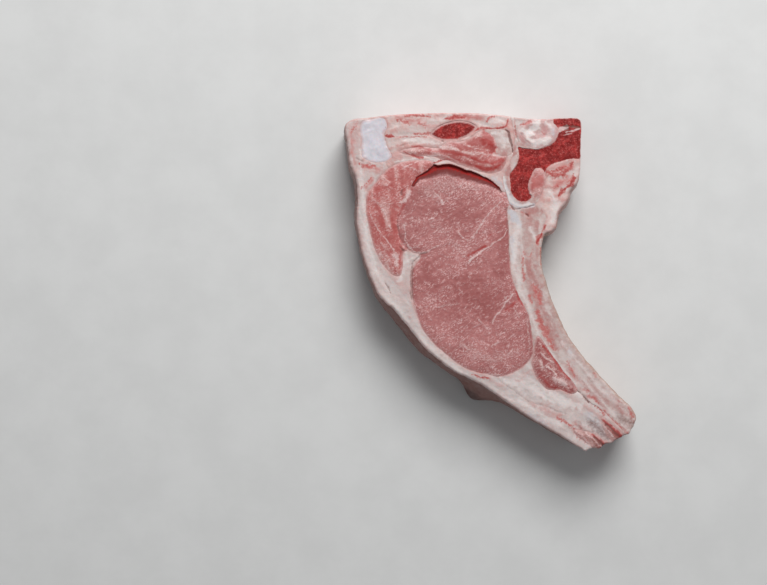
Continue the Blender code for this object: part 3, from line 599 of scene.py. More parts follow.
MARKS = {
    "loin_eye": EYE_MARKS, "cap_muscle": EYE_MARKS, "upper_muscle": BACK_MARKS, "back_fat": BACK_MARKS,
    "feather_bone": BACK_MARKS, "facet_bone": BACK_MARKS, "vertebra_marrow": MARROW_MARKS,
    "spinal_canal": CANAL_MARKS, "vertebra_bone": RIB_MARKS, "disc_muscle": RIB_MARKS,
    "chine_fat": RIB_MARKS, "rib_bone": RIB_MARKS, "fat_cover": COVER_MARKS, "rib_muscle": STRIP_MARKS,
    "tail_muscle_upper": STRIP_MARKS, "tail_muscle_lower": STRIP_MARKS,
}
CHANNELS = ("pale", "red", "dark", "pink", "blue")
NO_MARK = -0.6

# Colours, in sRGB steps of 255
EYE_PINK = (175, 113, 111)
EYE_DEEP = (149, 82, 80)
EYE_FLECK_AND_GLINT = (227, 194, 192)
CAP_PINK = (180, 104, 100)
CAP_DEEP = (162, 80, 76)
BAND_PINK = (178, 106, 102)
BAND_RED = (158, 74, 70)
RIB_MUSCLE_PINK = (164, 98, 96)
RIB_MUSCLE_DEEP = (134, 62, 60)
TAIL_BROWN = (158, 110, 104)
TAIL_DEEP = (128, 64, 60)
DISC_PINK = (176, 124, 121)
FAT_WHITE = (193, 179, 176)
FAT_CREAM = (195, 175, 171)
BACK_WHITE = (204, 174, 168)
BACK_ROSE = (188, 128, 123)
BONE_WHITE = (188, 168, 163)
BONE_ROSE = (172, 120, 116)
BONE_TAN = (158, 128, 114)
CANAL_WHITE = (192, 164, 161)
CANAL_ROSE = (186, 138, 136)
CARTILAGE_WHITE = (206, 200, 206)
CARTILAGE_GREY = (188, 184, 192)
MARROW_RED = (176, 54, 51)
MARROW_DARK = (114, 14, 12)
MARROW_DOTS = (198, 104, 99)
BLOOD = (156, 40, 36)
BLOOD_THIN = (182, 98, 93)
# The crevice: its red darkened as painted shade, and its deepest line painted lighter against the shadow
# cast there
CREVICE_SHADED_RED = (98, 9, 4)
CREVICE_SHADOW_LIFTED_MAROON = (142, 14, 8)
SHADE_BROWN = (112, 72, 66)
SEPTUM_AND_GLINT_WHITE = (216, 192, 189)
BORDER_PINK = (194, 156, 152)
BRIGHT_WHITE = (216, 205, 202)
LIGAMENT_AND_GLARE_BLUE = (190, 187, 192)
PINK_TINT = (190, 142, 137)
# The walls: the cover fat's skin, darkened as painted shade, and the chine's sinew; the fold is painted
# shade
SKIN_SIDE_AND_SHADE = (122, 74, 65)
SINEW_SIDE = (172, 124, 115)
FOLD_SHADE = (82, 47, 40)


def smooth_loop(points, step):
    """A closed curve through the points, bent least where they lie close together."""
    points = np.array(points, float)
    count = len(points)
    curve = []
    for i in range(count):
        four = [points[(i + k - 1) % count] for k in range(4)]
        knots = [0.0]
        for a, b in zip(four, four[1:]):
            knots.append(knots[-1] + math.sqrt(math.dist(a[:2], b[:2])))
        pieces = max(1, round(math.dist(four[1][:2], four[2][:2]) / step))
        for k in range(pieces):
            curve.append(curve_point(four, knots, knots[1] + (knots[2] - knots[1]) * k / pieces))
    return np.array(curve)


def curve_point(four, knots, t):
    """The Catmull-Rom curve's point at t, mixed from four neighbouring points."""
    row = list(four)
    for level in (1, 2, 3):
        mixed = []
        for k in range(len(row) - 1):
            low = knots[k if level < 3 else 1]
            high = knots[k + level if level < 3 else 2]
            mixed.append((row[k] * (high - t) + row[k + 1] * (t - low)) / (high - low))
        row = mixed
    return row[0]


def spindle(centre, half_length, half_width, tilt, point):
    """A closed oval; point above 1 draws its two ends out to tips."""
    loop = []
    turn = math.radians(tilt)
    for k in range(SPINDLE_POINTS):
        angle = 2.0 * math.pi * k / SPINDLE_POINTS
        along = half_length * math.cos(angle)
        across = half_width * math.sin(angle) * abs(math.sin(angle)) ** (point - 1.0)
        loop.append((centre[0] + along * math.cos(turn) - across * math.sin(turn),
                     centre[1] + along * math.sin(turn) + across * math.cos(turn)))
    return loop


CANAL = spindle((23.2, 74.5), 9.7, 7.4, -8, 1.0)
DISC_MUSCLE = spindle((23.6, 49.6), 7.4, 3.9, 78, 1.1)
FEATHER_BONE = spindle((-18.2, 75.6), 12.0, 5.0, 10, 1.35)
TISSUES = [
    ("spinal_canal", CANAL, "bone"),
    ("vertebra_marrow", MARROW, "marrow"),
    ("disc_muscle", DISC_MUSCLE, "meat"),
    ("vertebra_bone", VERTEBRA, "bone"),
    ("loin_eye", EYE, "meat"),
    ("cap_muscle", CAP, "meat"),
    ("facet_bone", FACET, "bone"),
    ("feather_bone", FEATHER_BONE, "marrow"),
    ("spine_cartilage", CARTILAGE, "cartilage"),
    ("rib_muscle", RIB_MUSCLE, "meat"),
    ("tail_muscle_upper", TAIL_MUSCLE_UPPER, "meat"),
    ("tail_muscle_lower", TAIL_MUSCLE_LOWER, "meat"),
    ("rib_bone", RIB, "bone"),
    ("upper_muscle", UPPER_MUSCLE, "meat"),
    ("chine_fat", CHINE_FAT, "fat"),
    ("back_fat", BACK_FAT, "fat"),
]
REMAINDER = "fat_cover"
NAMES = [tissue[0] for tissue in TISSUES] + [REMAINDER]
KINDS = {tissue[0]: tissue[2] for tissue in TISSUES}
KINDS[REMAINDER] = "fat"
OUTSIDE = -1


def inside(places, loop):
    """Which of the places lie inside the closed loop."""
    found = np.zeros(len(places), bool)
    near = np.all((places >= loop.min(axis=0)) & (places <= loop.max(axis=0)), axis=1)
    x = places[near, 0]
    y = places[near, 1]
    odd = np.zeros(len(x), bool)
    for (ax, ay), (bx, by) in zip(loop, np.roll(loop, -1, axis=0)):
        if ay != by:
            odd ^= ((ay > y) != (by > y)) & (x < ax + (y - ay) * (bx - ax) / (by - ay))
    found[near] = odd
    return found


def tissue_at(places, rim, loops):
    """The number of the tissue at each place, or OUTSIDE."""
    found = np.full(len(places), len(loops))
    for number in reversed(range(len(loops))):
        found[inside(places, loops[number])] = number
    found[~inside(places, rim)] = OUTSIDE
    return found


def triangulate(places, edges):
    """Triangles, counterclockwise, over the places, their areas, and the given edges as kept."""
    result = delaunay_2d_cdt([Vector(p[:2]) for p in places], edges, [], 0, SAME_PLACE, True)
    corners = np.array([tuple(v) for v in result[0]])
    faces = np.array([list(face) for face in result[2]])
    a, b, c = (corners[faces[:, k]] for k in range(3))
    turn = (b[:, 0] - a[:, 0]) * (c[:, 1] - a[:, 1]) - (b[:, 1] - a[:, 1]) * (c[:, 0] - a[:, 0])
    faces[turn < 0] = faces[turn < 0][:, ::-1]
    kept = {(min(edge), max(edge)) for edge, given in zip(result[1], result[4]) if given}
    return corners, faces, np.abs(turn) / 2.0, kept


def edge_owners(faces):
    """Each edge's faces, with the edge as two vertex numbers in rising order."""
    owners = {}
    for number, face in enumerate(faces.tolist()):
        for a, b in ((face[0], face[1]), (face[1], face[2]), (face[2], face[0])):
            owners.setdefault((min(a, b), max(a, b)), []).append(number)
    return owners


def patches(faces, owners, same):
    """Groups of faces joined over edges that same() lets through."""
    group = [-1] * len(faces)
    neighbours = [[] for _ in range(len(faces))]
    for edge, pair in owners.items():
        if len(pair) == 2 and same(edge, pair):
            neighbours[pair[0]].append(pair[1])
            neighbours[pair[1]].append(pair[0])
    count = 0
    for start in range(len(faces)):
        if group[start] >= 0:
            continue
        group[start] = count
        queue = [start]
        while queue:
            for other in neighbours[queue.pop()]:
                if group[other] < 0:
                    group[other] = count
                    queue.append(other)
        count += 1
    return np.array(group), count


def settle_scraps(corners, faces, areas, owners, label):
    """Leaves each tissue in one patch: its smaller patches go to the neighbour they touch most."""
    while True:
        group, count = patches(faces, owners, lambda edge, pair: label[pair[0]] == label[pair[1]])
        size = np.bincount(group, weights=areas, minlength=count)
        owner = np.full(count, OUTSIDE)
        owner[group] = label
        main = {}
        for patch in range(count):
            best = main.get(owner[patch])
            if best is None or size[patch] > size[best]:
                main[owner[patch]] = patch
        scraps = [p for p in range(count) if owner[p] != OUTSIDE and main[owner[p]] != p]
        if not scraps:
            return label
        scrap = min(scraps, key=lambda p: size[p])
        touch = {}
        for (a, b), pair in owners.items():
            if len(pair) == 2 and (group[pair[0]] == scrap) != (group[pair[1]] == scrap):
                other = pair[1] if group[pair[0]] == scrap else pair[0]
                length = math.dist(corners[a], corners[b])
                touch[label[other]] = touch.get(label[other], 0.0) + length
        touch.pop(OUTSIDE, None)
        label = np.where(group == scrap, max(touch, key=touch.get), label)


def border_chains(owners, label):
    """The borders between tissues, as runs of vertices from one junction to the next."""
    links = {}
    for (a, b), pair in owners.items():
        sides = {label[f] for f in pair} | ({OUTSIDE} if len(pair) == 1 else set())
        if len(sides) == 2:
            links.setdefault(a, []).append(b)
            links.setdefault(b, []).append(a)
    chains = []
    used = set()
    junctions = [v for v in sorted(links) if len(links[v]) != 2]
    for start in junctions + [v for v in sorted(links) if len(links[v]) == 2]:
        for step in links[start]:
            if (start, step) in used:
                continue
            chain = [start, step]
            used.update([(start, step), (step, start)])
            while len(links[chain[-1]]) == 2 and chain[-1] != start:
                after = [v for v in links[chain[-1]] if v != chain[-2]][0]
                used.update([(chain[-1], after), (after, chain[-1])])
                chain.append(after)
            chains.append(chain)
    return chains


def thin_out(line):
    """Keeps the line's ends and points about a step apart."""
    kept = [0]
    last = len(line) - 1
    while kept[-1] < last:
        start = kept[-1]
        reach = start + 1
        while reach < last and math.dist(line[reach + 1], line[start]) <= LONGEST_STEP:
            reach += 1
        kept.append(reach)
    return line[kept]


def tissue_map():
    """The whole map in fine triangles: corners, faces and each face's tissue number."""
    rim = smooth_loop(OUTLINE, FINE_STEP)[:, :2]
    loops = [smooth_loop(tissue[1], FINE_STEP) for tissue in TISSUES]
    places = np.vstack([rim] + loops)
    edges = []
    first = 0
    for loop in [rim] + loops:
        count = len(loop)
        edges += [(first + k, first + (k + 1) % count) for k in range(count)]
        first += count
    corners, faces, areas, _ = triangulate(places, edges)
    label = tissue_at(corners[faces].mean(axis=1), rim, loops)
    owners = edge_owners(faces)
    label = settle_scraps(corners, faces, areas, owners, label)
    borders = [thin_out(corners[chain]) for chain in border_chains(owners, label)]
    return filled_map(borders, rim, loops)


def filled_map(borders, rim, loops):
    """Triangles over the borders and an even grid between them."""
    near = kdtree.KDTree(sum(len(line) for line in borders) * 2)
    places = []
    edges = []
    number = 0
    for line in borders:
        for k in range(len(line) - 1):
            edges.append((len(places), len(places) + 1))
            places += [line[k], line[k + 1]]
            for share in (0.0, 0.5):
                spot = line[k] * (1.0 - share) + line[k + 1] * share
                near.insert((spot[0], spot[1], 0.0), number)
                number += 1
    near.balance()
    row_step = STEP * math.sqrt(3.0) / 2.0
    low, high = rim.min(axis=0), rim.max(axis=0)
    rows, columns = np.mgrid[0:int((high[1] - low[1]) / row_step) + 1,
                             0:int((high[0] - low[0]) / STEP) + 1]
    grid = np.stack([low[0] + (columns + 0.5 * (rows % 2)) * STEP, low[1] + rows * row_step], axis=-1)
    for spot in grid.reshape(-1, 2):
        if near.find((spot[0], spot[1], 0.0))[2] > GRID_GAP:
            places.append(spot)
    corners, faces, areas, kept = triangulate(places, edges)
    label = tissue_at(corners[faces].mean(axis=1), rim, loops)
    owners = edge_owners(faces)
    group, count = patches(faces, owners, lambda edge, pair: edge not in kept)
    weight = np.zeros((count, len(NAMES) + 1))
    np.add.at(weight, (group, label + 1), areas)
    label = weight.argmax(axis=1)[group] - 1
    return corners, faces, settle_scraps(corners, faces, areas, owners, label)


def value_noise(x, y, size, seed):
    """Smooth noise from 0 to 1 whose lumps are about as wide as size."""
    table = np.random.default_rng(seed).random((NOISE_TABLE, NOISE_TABLE))
    x, y = x / size + NOISE_SHIFT, y / size + NOISE_SHIFT
    column, row = np.floor(x).astype(int), np.floor(y).astype(int)
    fx, fy = x - column, y - row
    fx, fy = fx * fx * (3.0 - 2.0 * fx), fy * fy * (3.0 - 2.0 * fy)
    a, b, c, d = (table[(row + up) % NOISE_TABLE, (column + right) % NOISE_TABLE]
                  for up in (0, 1) for right in (0, 1))
    return (a * (1.0 - fx) + b * fx) * (1.0 - fy) + (c * (1.0 - fx) + d * fx) * fy


def rough_noise(x, y, size, seed):
    """Noise of three sizes together, from about -1 to 1."""
    total = value_noise(x, y, size, seed) + 0.5 * value_noise(x, y, size / 2.1, seed + 1)
    total += 0.25 * value_noise(x, y, size / 4.3, seed + 2)
    return total / 0.875 - 1.0


def lumps(x, y, height, size, seed):
    """Noise up and down by about the height."""
    return height * rough_noise(x, y, size, seed)


def nearest_stretch(places, line):
    """Which stretch of the broken line is nearest to each place, the share along it, and how far."""
    nearest = np.full(len(places), np.inf)
    number, share = np.zeros(len(places), int), np.zeros(len(places))
    for k, (a, b) in enumerate(zip(line, line[1:])):
        way = b - a
        along = np.clip(((places - a) @ way) / (way @ way), 0.0, 1.0)
        away = np.hypot(*(places - a - along[:, None] * way).T)
        closer = away < nearest
        nearest[closer], number[closer], share[closer] = away[closer], k, along[closer]
    return number, share, nearest


def flow_places(places, line):
    """How far along the broken line each place lies, and how far to its left."""
    line = np.array(line, float)
    number, share, away = nearest_stretch(places, line)
    ways = np.diff(line, axis=0)
    lengths = np.hypot(*ways.T)
    walked = np.concatenate([[0.0], np.cumsum(lengths)])
    off = places - line[number] - share[:, None] * ways[number]
    left = ways[number, 0] * off[:, 1] >= ways[number, 1] * off[:, 0]
    return walked[number] + share * lengths[number], np.where(left, away, -away)


def line_distance(places, line):
    """Distance from each place to a broken line, and the third value of the line there, mixed."""
    line = np.array(line, float)
    number, share, away = nearest_stretch(places, line[:, :2])
    values = line[:, 2]
    return away, values[number] + (values[number + 1] - values[number]) * share


def strands(places, name):
    """Noise from 0 to 1, drawn out along the tissue's strands."""
    along, across = flow_places(places, FLOWS.get(name, EYE_FLOW))
    bend = 1.5 * value_noise(along, across, 9.0, 201)
    broad = value_noise(along / 7.0, across + bend, 2.6, 211)
    fine = value_noise(along / 6.0, across + bend, 1.3, 221)
    return 0.6 * broad + 0.4 * fine


def finder_of(places):
    """A search tree over flat places."""
    finder = kdtree.KDTree(len(places))
    for number, place in enumerate(places):
        finder.insert((place[0], place[1], 0.0), number)
    finder.balance()
    return finder


def distances(places, finder):
    """How far each place is from the nearest one in the finder."""
    return np.array([finder.find((x, y, 0.0))[2] for x, y in places])


def mark_field(places, marks):
    """Above 0 inside a mark, up to its strength, and down to NO_MARK away from all."""
    x, y = places[:, 0], places[:, 1]
    bent = places.copy()
    for axis in (0, 1):
        bent[:, axis] += MARK_WAVER * rough_noise(x, y, MARK_WAVER_SIZE, 301 + 10 * axis)
    breadth = MARK_NARROWEST + MARK_BREADTH * value_noise(x, y, MARK_BREADTH_SIZE, 321)
    field = np.full(len(places), NO_MARK)
    for strength, line in marks:
        away, width = line_distance(bent, line)
        share = away / np.maximum(width * breadth, THINNEST_MARK)
        outer = NO_MARK * np.clip(share - 1.0, 0.0, 1.0)
        field = np.maximum(field, np.where(share < 1.0, strength * (1.0 - share), outer))
    return field


def marks_of(name, places):
    """Every channel's field on the named tissue."""
    drawn = MARKS.get(name, {})
    return {channel: mark_field(places, drawn.get(channel, [])) for channel in CHANNELS}


def waver(places):
    """The places moved a little to and fro, so that no border is drawn too evenly."""
    x, y = places[:, 0], places[:, 1]
    share = np.clip((SAWN_LEVEL - y) / SAWN_MARGIN, SAWN_SHARE, 1.0) * WAVER
    tail_away = np.hypot(x - TAIL_END[0], y - TAIL_END[1])
    frayed = FRAY * np.clip(2.0 - 2.0 * tail_away / FRAY_REACH, 0.0, 1.0)
    moved = places.copy()
    for axis in (0, 1):
        moved[:, axis] += share * rough_noise(x, y, WAVER_SIZE, 11 + 10 * axis)
        moved[:, axis] += frayed * (2.0 * value_noise(x, y, FRAY_SIZE, 121 + 10 * axis) - 1.0)
    return moved


def crevice_depth(places):
    """How far the loin eye sinks below the pale band, and how deep in the crevice it lies, which sets
    where its red and painted shade go.
    """
    away, depth = line_distance(places, CREVICE)
    share = np.clip(1.0 - away / CREVICE_WIDTH, 0.0, 1.0)
    red_and_shade = np.clip(1.0 - away / (1.0 + CREVICE_RED_SHADE_REACH * depth), 0.0, 1.0)
    return CREVICE_SHARE * depth * share * share, red_and_shade


def relief(name, places, border_away, fields):
    """The height of the cut face over the tissue, in millimetres above the plain thickness."""
    x, y = places[:, 0], places[:, 1]
    kind = KINDS[name]
    height = lumps(x, y, *FACE_LUMPS)
    if kind == "meat":
        share = np.clip(border_away / MUSCLE_EDGE, 0.0, 1.0)
        height += -MUSCLE_SEAM + (MUSCLE_RISE + MUSCLE_SEAM) * share * (2.0 - share)
        along = x * math.cos(FIBRE_TILT) + y * math.sin(FIBRE_TILT)
        across = y * math.cos(FIBRE_TILT) - x * math.sin(FIBRE_TILT)
        height += lumps(along / FIBRE_STRETCH, across, *FIBRE_LUMPS)
        height += lumps(x, y, *MEAT_GRAIN)
        height += SEPTUM_RISE * np.clip(fields["pale"], 0.0, 1.0)
    elif kind == "marrow":
        height += -MARROW_SINK + lumps(x, y, *MARROW_GRAIN)
    elif kind == "bone":
        height += lumps(x, y, *BONE_GRAIN) - STAIN_SINK * np.clip(fields["red"], 0.0, 1.0)
    else:
        height += lumps(x, y, *FAT_LUMPS) + lumps(x, y, *FAT_GRAIN)
        height += STRAND_RISE * (fields["strand"] - 0.5)
        height -= GROOVE_DEPTH * np.clip(1.0 - border_away / GROOVE_EDGE, 0.0, 1.0) ** 2
    if name == "loin_eye":
        height -= crevice_depth(places)[0]
    if name == "spinal_canal":
        share = np.clip(border_away / CANAL_EDGE, 0.0, 1.0)
        height += share * (CANAL_RISE + lumps(x, y, *CANAL_LUMPS))
    return height - CREASE_DEPTH * np.clip(fields["dark"], 0.0, 1.0)


def side_profile():
    """Shares of the height with those of the swelling and the fold, in even smooth layers."""
    rings = np.array(SIDE_RINGS)
    heights = (1.0 - np.cos(np.linspace(0.0, 1.0, SIDE_LAYERS + 1) * math.pi)) / 2.0
    fine = np.linspace(0.0, 1.0, PROFILE_SAMPLES)
    kernel = np.hanning(PROFILE_BLUR)
    layers = [heights]
    for column in (1, 2):
        curve = np.interp(fine, rings[:, 0], rings[:, column])
        padded = np.pad(curve, PROFILE_BLUR // 2, mode="edge")
        smooth = np.convolve(padded, kernel / kernel.sum(), mode="valid")
        layers.append(np.interp(heights, fine, smooth))
    return np.stack(layers, axis=1)


def rim_ways(corners, faces, label):
    """For each vertex on the chop's rim, the way outwards."""
    turned = {}
    shape = faces[label != OUTSIDE]
    for (a, b), pair in edge_owners(shape).items():
        if len(pair) == 1:
            along = corners[b] - corners[a]
            out = np.array((along[1], -along[0])) / math.hypot(*along)
            if out @ (corners[shape[pair[0]]].mean(axis=0) - corners[a]) > 0:
                out = -out
            for end in (a, b):
                turned[end] = turned.get(end, 0.0) + out
    return {vertex: out / math.hypot(*out) for vertex, out in turned.items()}


def wall(left, right):
    """Triangles between two columns of vertices, climbing whichever side is lower."""
    faces = []
    i = j = 0
    while i < len(left) - 1 or j < len(right) - 1:
        left_next = (i + 1) / (len(left) - 1)
        right_next = (j + 1) / (len(right) - 1)
        if j == len(right) - 1 or (i < len(left) - 1 and left_next <= right_next):
            faces.append((left[i], right[j], left[i + 1]))
            i += 1
        else:
            faces.append((left[i], right[j], right[j + 1]))
            j += 1
    return faces


def tissue_fields(name, places, border_away, pale_away, rim_away, swelling):
    """What the material needs to know at each place of the cut face, a field for each channel."""
    fields = marks_of(name, places)
    fields["strand"] = strands(places, name)
    fields["edge"] = pale_away
    red_and_shade = crevice_depth(places)[1]
    if name != "loin_eye":
        red_and_shade = np.where((border_away < AT_BORDER) & (red_and_shade > BORDER_RED_SHADE), red_and_shade, 0.0)
    fields["crevice"] = red_and_shade
    swollen = np.clip(SWELL_SHARE * swelling, 0.0, 1.0)
    fields["side"] = TAN_SHARE * swollen * np.clip(1.0 - rim_away / TAN_EDGE, 0.0, 1.0)
    return fields


def rounded_tops(name, places, border_away, rim_away, swelling, fields):
    """The height of the cut face at each place, rounded off towards the rim."""
    radius = SAWN_ROUND + (SWOLLEN_ROUND - SAWN_ROUND) * np.clip(swelling, 0.0, 1.0)
    rounding = 1.0 - np.clip(rim_away / radius, 0.0, 1.0)
    tops = THICKNESS + relief(name, places, border_away, fields)
    return tops - radius * (1.0 - np.sqrt(1.0 - ROUNDNESS * rounding * rounding))


def wall_column(place, top, out, swell, fold, inner):
    """The places down the chop's wall below one place on its rim."""
    x, y = place
    heights = inner[:, 0] * top
    uneven = lumps(np.full(len(inner), x + 0.7 * y), heights + 3.0 * y, *WALL_LUMPS)
    step = swell * inner[:, 1] + fold * inner[:, 2]
    step += uneven * np.sin(inner[:, 0] * math.pi) * min(1.0, SAWN_LUMPS + swell)
    return np.column_stack([x + out[0] * step, y + out[1] * step, heights])


def piece(name, corners, faces, rim, rim_away, swelling, pale_at, profile):
    """One tissue's mesh: vertices in millimetres, faces, and a value for each vertex and channel."""
    directed = {(a, b) for face in faces.tolist() for a, b in zip(face, face[1:] + face[:1])}
    border = sorted(edge for edge in directed if (edge[1], edge[0]) not in directed)
    ends = sorted({v for edge in border for v in edge})
    numbers = np.unique(faces)
    place_of = {v: k for k, v in enumerate(numbers.tolist())}
    places, rim_away, swelling = corners[numbers], rim_away[numbers], swelling[numbers]
    border_away = distances(places, finder_of(corners[ends]))
    pale_away = distances(places, finder_of(corners[[v for v in ends if pale_at[v]]]))
    fields = tissue_fields(name, places, border_away, pale_away, rim_away, swelling)
    tops = rounded_tops(name, places, border_away, rim_away, swelling, fields)
    share = np.clip(rim_away / LEAN_MARGIN, 0.0, 1.0)
    lean = np.array(LEAN) * (share * share * (3.0 - 2.0 * share))[:, None]
    count = len(numbers)
    verts = [np.column_stack([places, tops]), np.column_stack([places + lean, np.zeros(count)])]
    values = {channel: [field, field] for channel, field in fields.items()}
    column = {v: [count + place_of[v], place_of[v]] for edge in border for v in edge}
    inner = profile[1:-1]
    first = 2 * count
    for v in [v for v in column if v in rim]:
        k = place_of[v]
        out, swell, fold = rim[v]
        verts.append(wall_column(places[k], tops[k], out, swell, fold, inner))
        verts[1][k, :2] += out * (swell * profile[0, 1] + fold * profile[0, 2])
        column[v] = [count + k, *range(first, first + len(inner)), k]
        first += len(inner)
        # Skin where the wall swells, which the cover fat darkens as painted shade, rising above 1 at the
        # fold for its painted shade
        skin = min(SHADED_SKIN_SHARE, SWELL_SHARE * swell) + fold / FOLD_REACH * inner[:, 2]
        plain = {"side": skin, "edge": WALL_EDGE, "crevice": 0.0, "strand": fields["strand"][k]}
        for channel, rows in values.items():
            rows.append(np.broadcast_to(plain.get(channel, NO_MARK), len(inner)))
    local = np.searchsorted(numbers, faces)
    mesh_faces = local.tolist() + (local[:, ::-1] + count).tolist()
    for a, b in border:
        mesh_faces += wall(column[a], column[b])
    return np.vstack(verts), mesh_faces, {key: np.concatenate(row) for key, row in values.items()}


def add_piece(name, verts, faces, values, look):
    """The tissue's object, in metres, with its fields as attributes."""
    mesh = bpy.data.meshes.new(name)
    centred = verts * MM
    centred[:, 0] -= MAP_CENTRE[0] * MM
    centred[:, 1] -= MAP_CENTRE[1] * MM
    mesh.from_pydata(centred.tolist(), [], faces)
    mesh.shade_smooth()
    mesh.set_sharp_from_angle(angle=SHARP_ANGLE)
    for channel, row in values.items():
        mesh.attributes.new(channel, "FLOAT", "POINT").data.foreach_set("value", row.astype(np.float32))
    mesh.materials.append(look)
    thing = add_object("skin_" + name, mesh)
    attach(thing, "root")
    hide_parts(name)


def linear(colour):
    """An sRGB colour in steps of 255 as linear light."""
    steps = [c / 255.0 for c in colour]
    return tuple(c / 12.92 if c <= 0.04045 else ((c + 0.055) / 1.055) ** 2.4 for c in steps)


def tinted(colour):
    """A colour seen in the picture as the surface colour under the scene's light."""
    return tuple(min(c / LIGHT_LEVEL, PALEST) for c in linear(colour)) + (1.0,)


class Look:
    """A material built by plain calls. A node's inputs are numbers, colours or other sockets."""

    def __init__(self, name):
        self.material = bpy.data.materials.new(name)
        self.material.use_nodes = True
        self.tree = self.material.node_tree
        coordinates = self.node("TexCoord", {})["Object"]
        self.place = self.node("VectorMath", {0: coordinates, "Scale": 1.0 / MM}, operation="SCALE")[0]

    def put(self, node, inputs):
        """Sets a node's inputs, or links them where the value is a socket."""
        for key, value in inputs.items():
            if isinstance(value, bpy.types.NodeSocket):
                self.tree.links.new(value, node.inputs[key])
            else:
                node.inputs[key].default_value = value

    def node(self, kind, inputs, **settings):
        """A new node's outputs."""
        made = self.tree.nodes.new("ShaderNode" + kind)
        for setting, value in settings.items():
            setattr(made, setting, value)
        self.put(made, inputs)
        return made.outputs

    def turned(self, tilt, stretch):
        """The place in millimetres, turned by the tilt and squeezed along it."""
        inputs = {"Vector": self.place, "Rotation": (0.0, 0.0, tilt), "Scale": (stretch, 1.0, 1.0)}
        return self.node("Mapping", inputs, vector_type="TEXTURE")[0]

    def noise(self, place, size, detail=2.0, roughness=0.5, distortion=0.0):
        """Noise whose lumps are about size millimetres wide."""
        inputs = {"Vector": place, "Scale": 1.0 / size, "Detail": detail, "Roughness": roughness,
                  "Distortion": distortion}
        return self.node("TexNoise", inputs)["Fac"]

    def cells(self, place, size):
        """Distance within round cells about size millimetres wide."""
        return self.node("TexVoronoi", {"Vector": place, "Scale": 1.0 / size}, feature="F1")["Distance"]

    def field(self, channel):
        """A channel drawn on the mesh."""
        return self.node("Attribute", {}, attribute_name=channel)["Fac"]

    def math(self, operation, *inputs):
        """The result of a sum on two or three inputs."""
        return self.node("Math", dict(enumerate(inputs)), operation=operation)[0]

    def rise(self, value, low, high, top=1.0):
        """0 below low and top above high, smooth between them."""
        inputs = {"Value": value, "From Min": low, "From Max": high, "To Max": top}
        return self.node("MapRange", inputs, interpolation_type="SMOOTHSTEP")["Result"]

    def fall(self, value, low, high, top=1.0):
        """Top below low and 0 above high, smooth between them."""
        return self.math("SUBTRACT", top, self.rise(value, low, high, top))

    def flipped(self, value):
        """1 where the value is 0, and 0 where it is 1."""
        return self.math("SUBTRACT", 1.0, value)

    def shaken(self, value, grain, amount):
        """The value moved up and down by the grain, over a span of the amount."""
        return self.math("MULTIPLY_ADD", self.math("SUBTRACT", grain, 0.5), amount, value)

    def ragged(self, channel, grain, raggedness, soft, top):
        """A drawn channel with its edge broken up by the grain."""
        return self.rise(self.shaken(self.field(channel), grain, raggedness), 0.0, soft, top)

    def mix(self, share, a, b):
        """Colour a where share is 0 and b where it is 1."""
        return self.node("Mix", {0: share, 6: a, 7: b}, data_type="RGBA")[2]

    def begin(self, share, a, b):
        """Starts the material's colour with a mix of two."""
        self.colour = self.mix(share, tinted(a), tinted(b))

    def paint(self, share, colour):
        """Lays a colour over the material's colour, as thick as share."""
        self.colour = self.mix(share, self.colour, tinted(colour))

    def paint_crevice_red_and_shade(self, grain):
        """Lays the red of the crevice over the material's colour: its outer band darkened as painted
        shade, its deepest line painted lighter against the shadow cast there.
        """
        sunk = self.shaken(self.field("crevice"), grain, 0.6)
        self.paint(self.rise(sunk, 0.05, 0.45, 0.95), CREVICE_SHADED_RED)
        self.paint(self.rise(sunk, 0.7, 0.95), CREVICE_SHADOW_LIFTED_MAROON)

    def paint_blood(self, stained, thin, thick):
        """Lays blood over the material's colour, thin at a stain's edge and red within it."""
        self.paint(self.rise(stained, 0.0, thin, 0.85), BLOOD_THIN)
        self.paint(self.rise(stained, thick, 1.0, 0.85), BLOOD)

    def rough(self, grain, low, span):
        """Roughness from low upwards, over the span, with the grain."""
        return self.math("ADD", self.rise(grain, 0.3, 0.7, span), low)

    def bumps(self, *layers):
        """The bumped normal of layers of height, depth in millimetres and strength."""
        normal = {}
        for height, depth, strength in layers:
            inputs = {"Strength": strength, "Distance": depth * MM, "Height": height}
            normal = {"Normal": self.node("Bump", inputs | normal)[0]}
        return normal["Normal"]

    def finish(self, roughness, normal, subsurface, specular):
        """Gives the shader all that it needs."""
        self.put(self.tree.nodes["Principled BSDF"], {
            "Base Color": self.colour, "Roughness": roughness, "Normal": normal,
            "Specular IOR Level": specular, "Subsurface Weight": subsurface,
            "Subsurface Radius": SUBSURFACE_RADIUS, "Subsurface Scale": SUBSURFACE_DEPTH * MM})
        return self.material


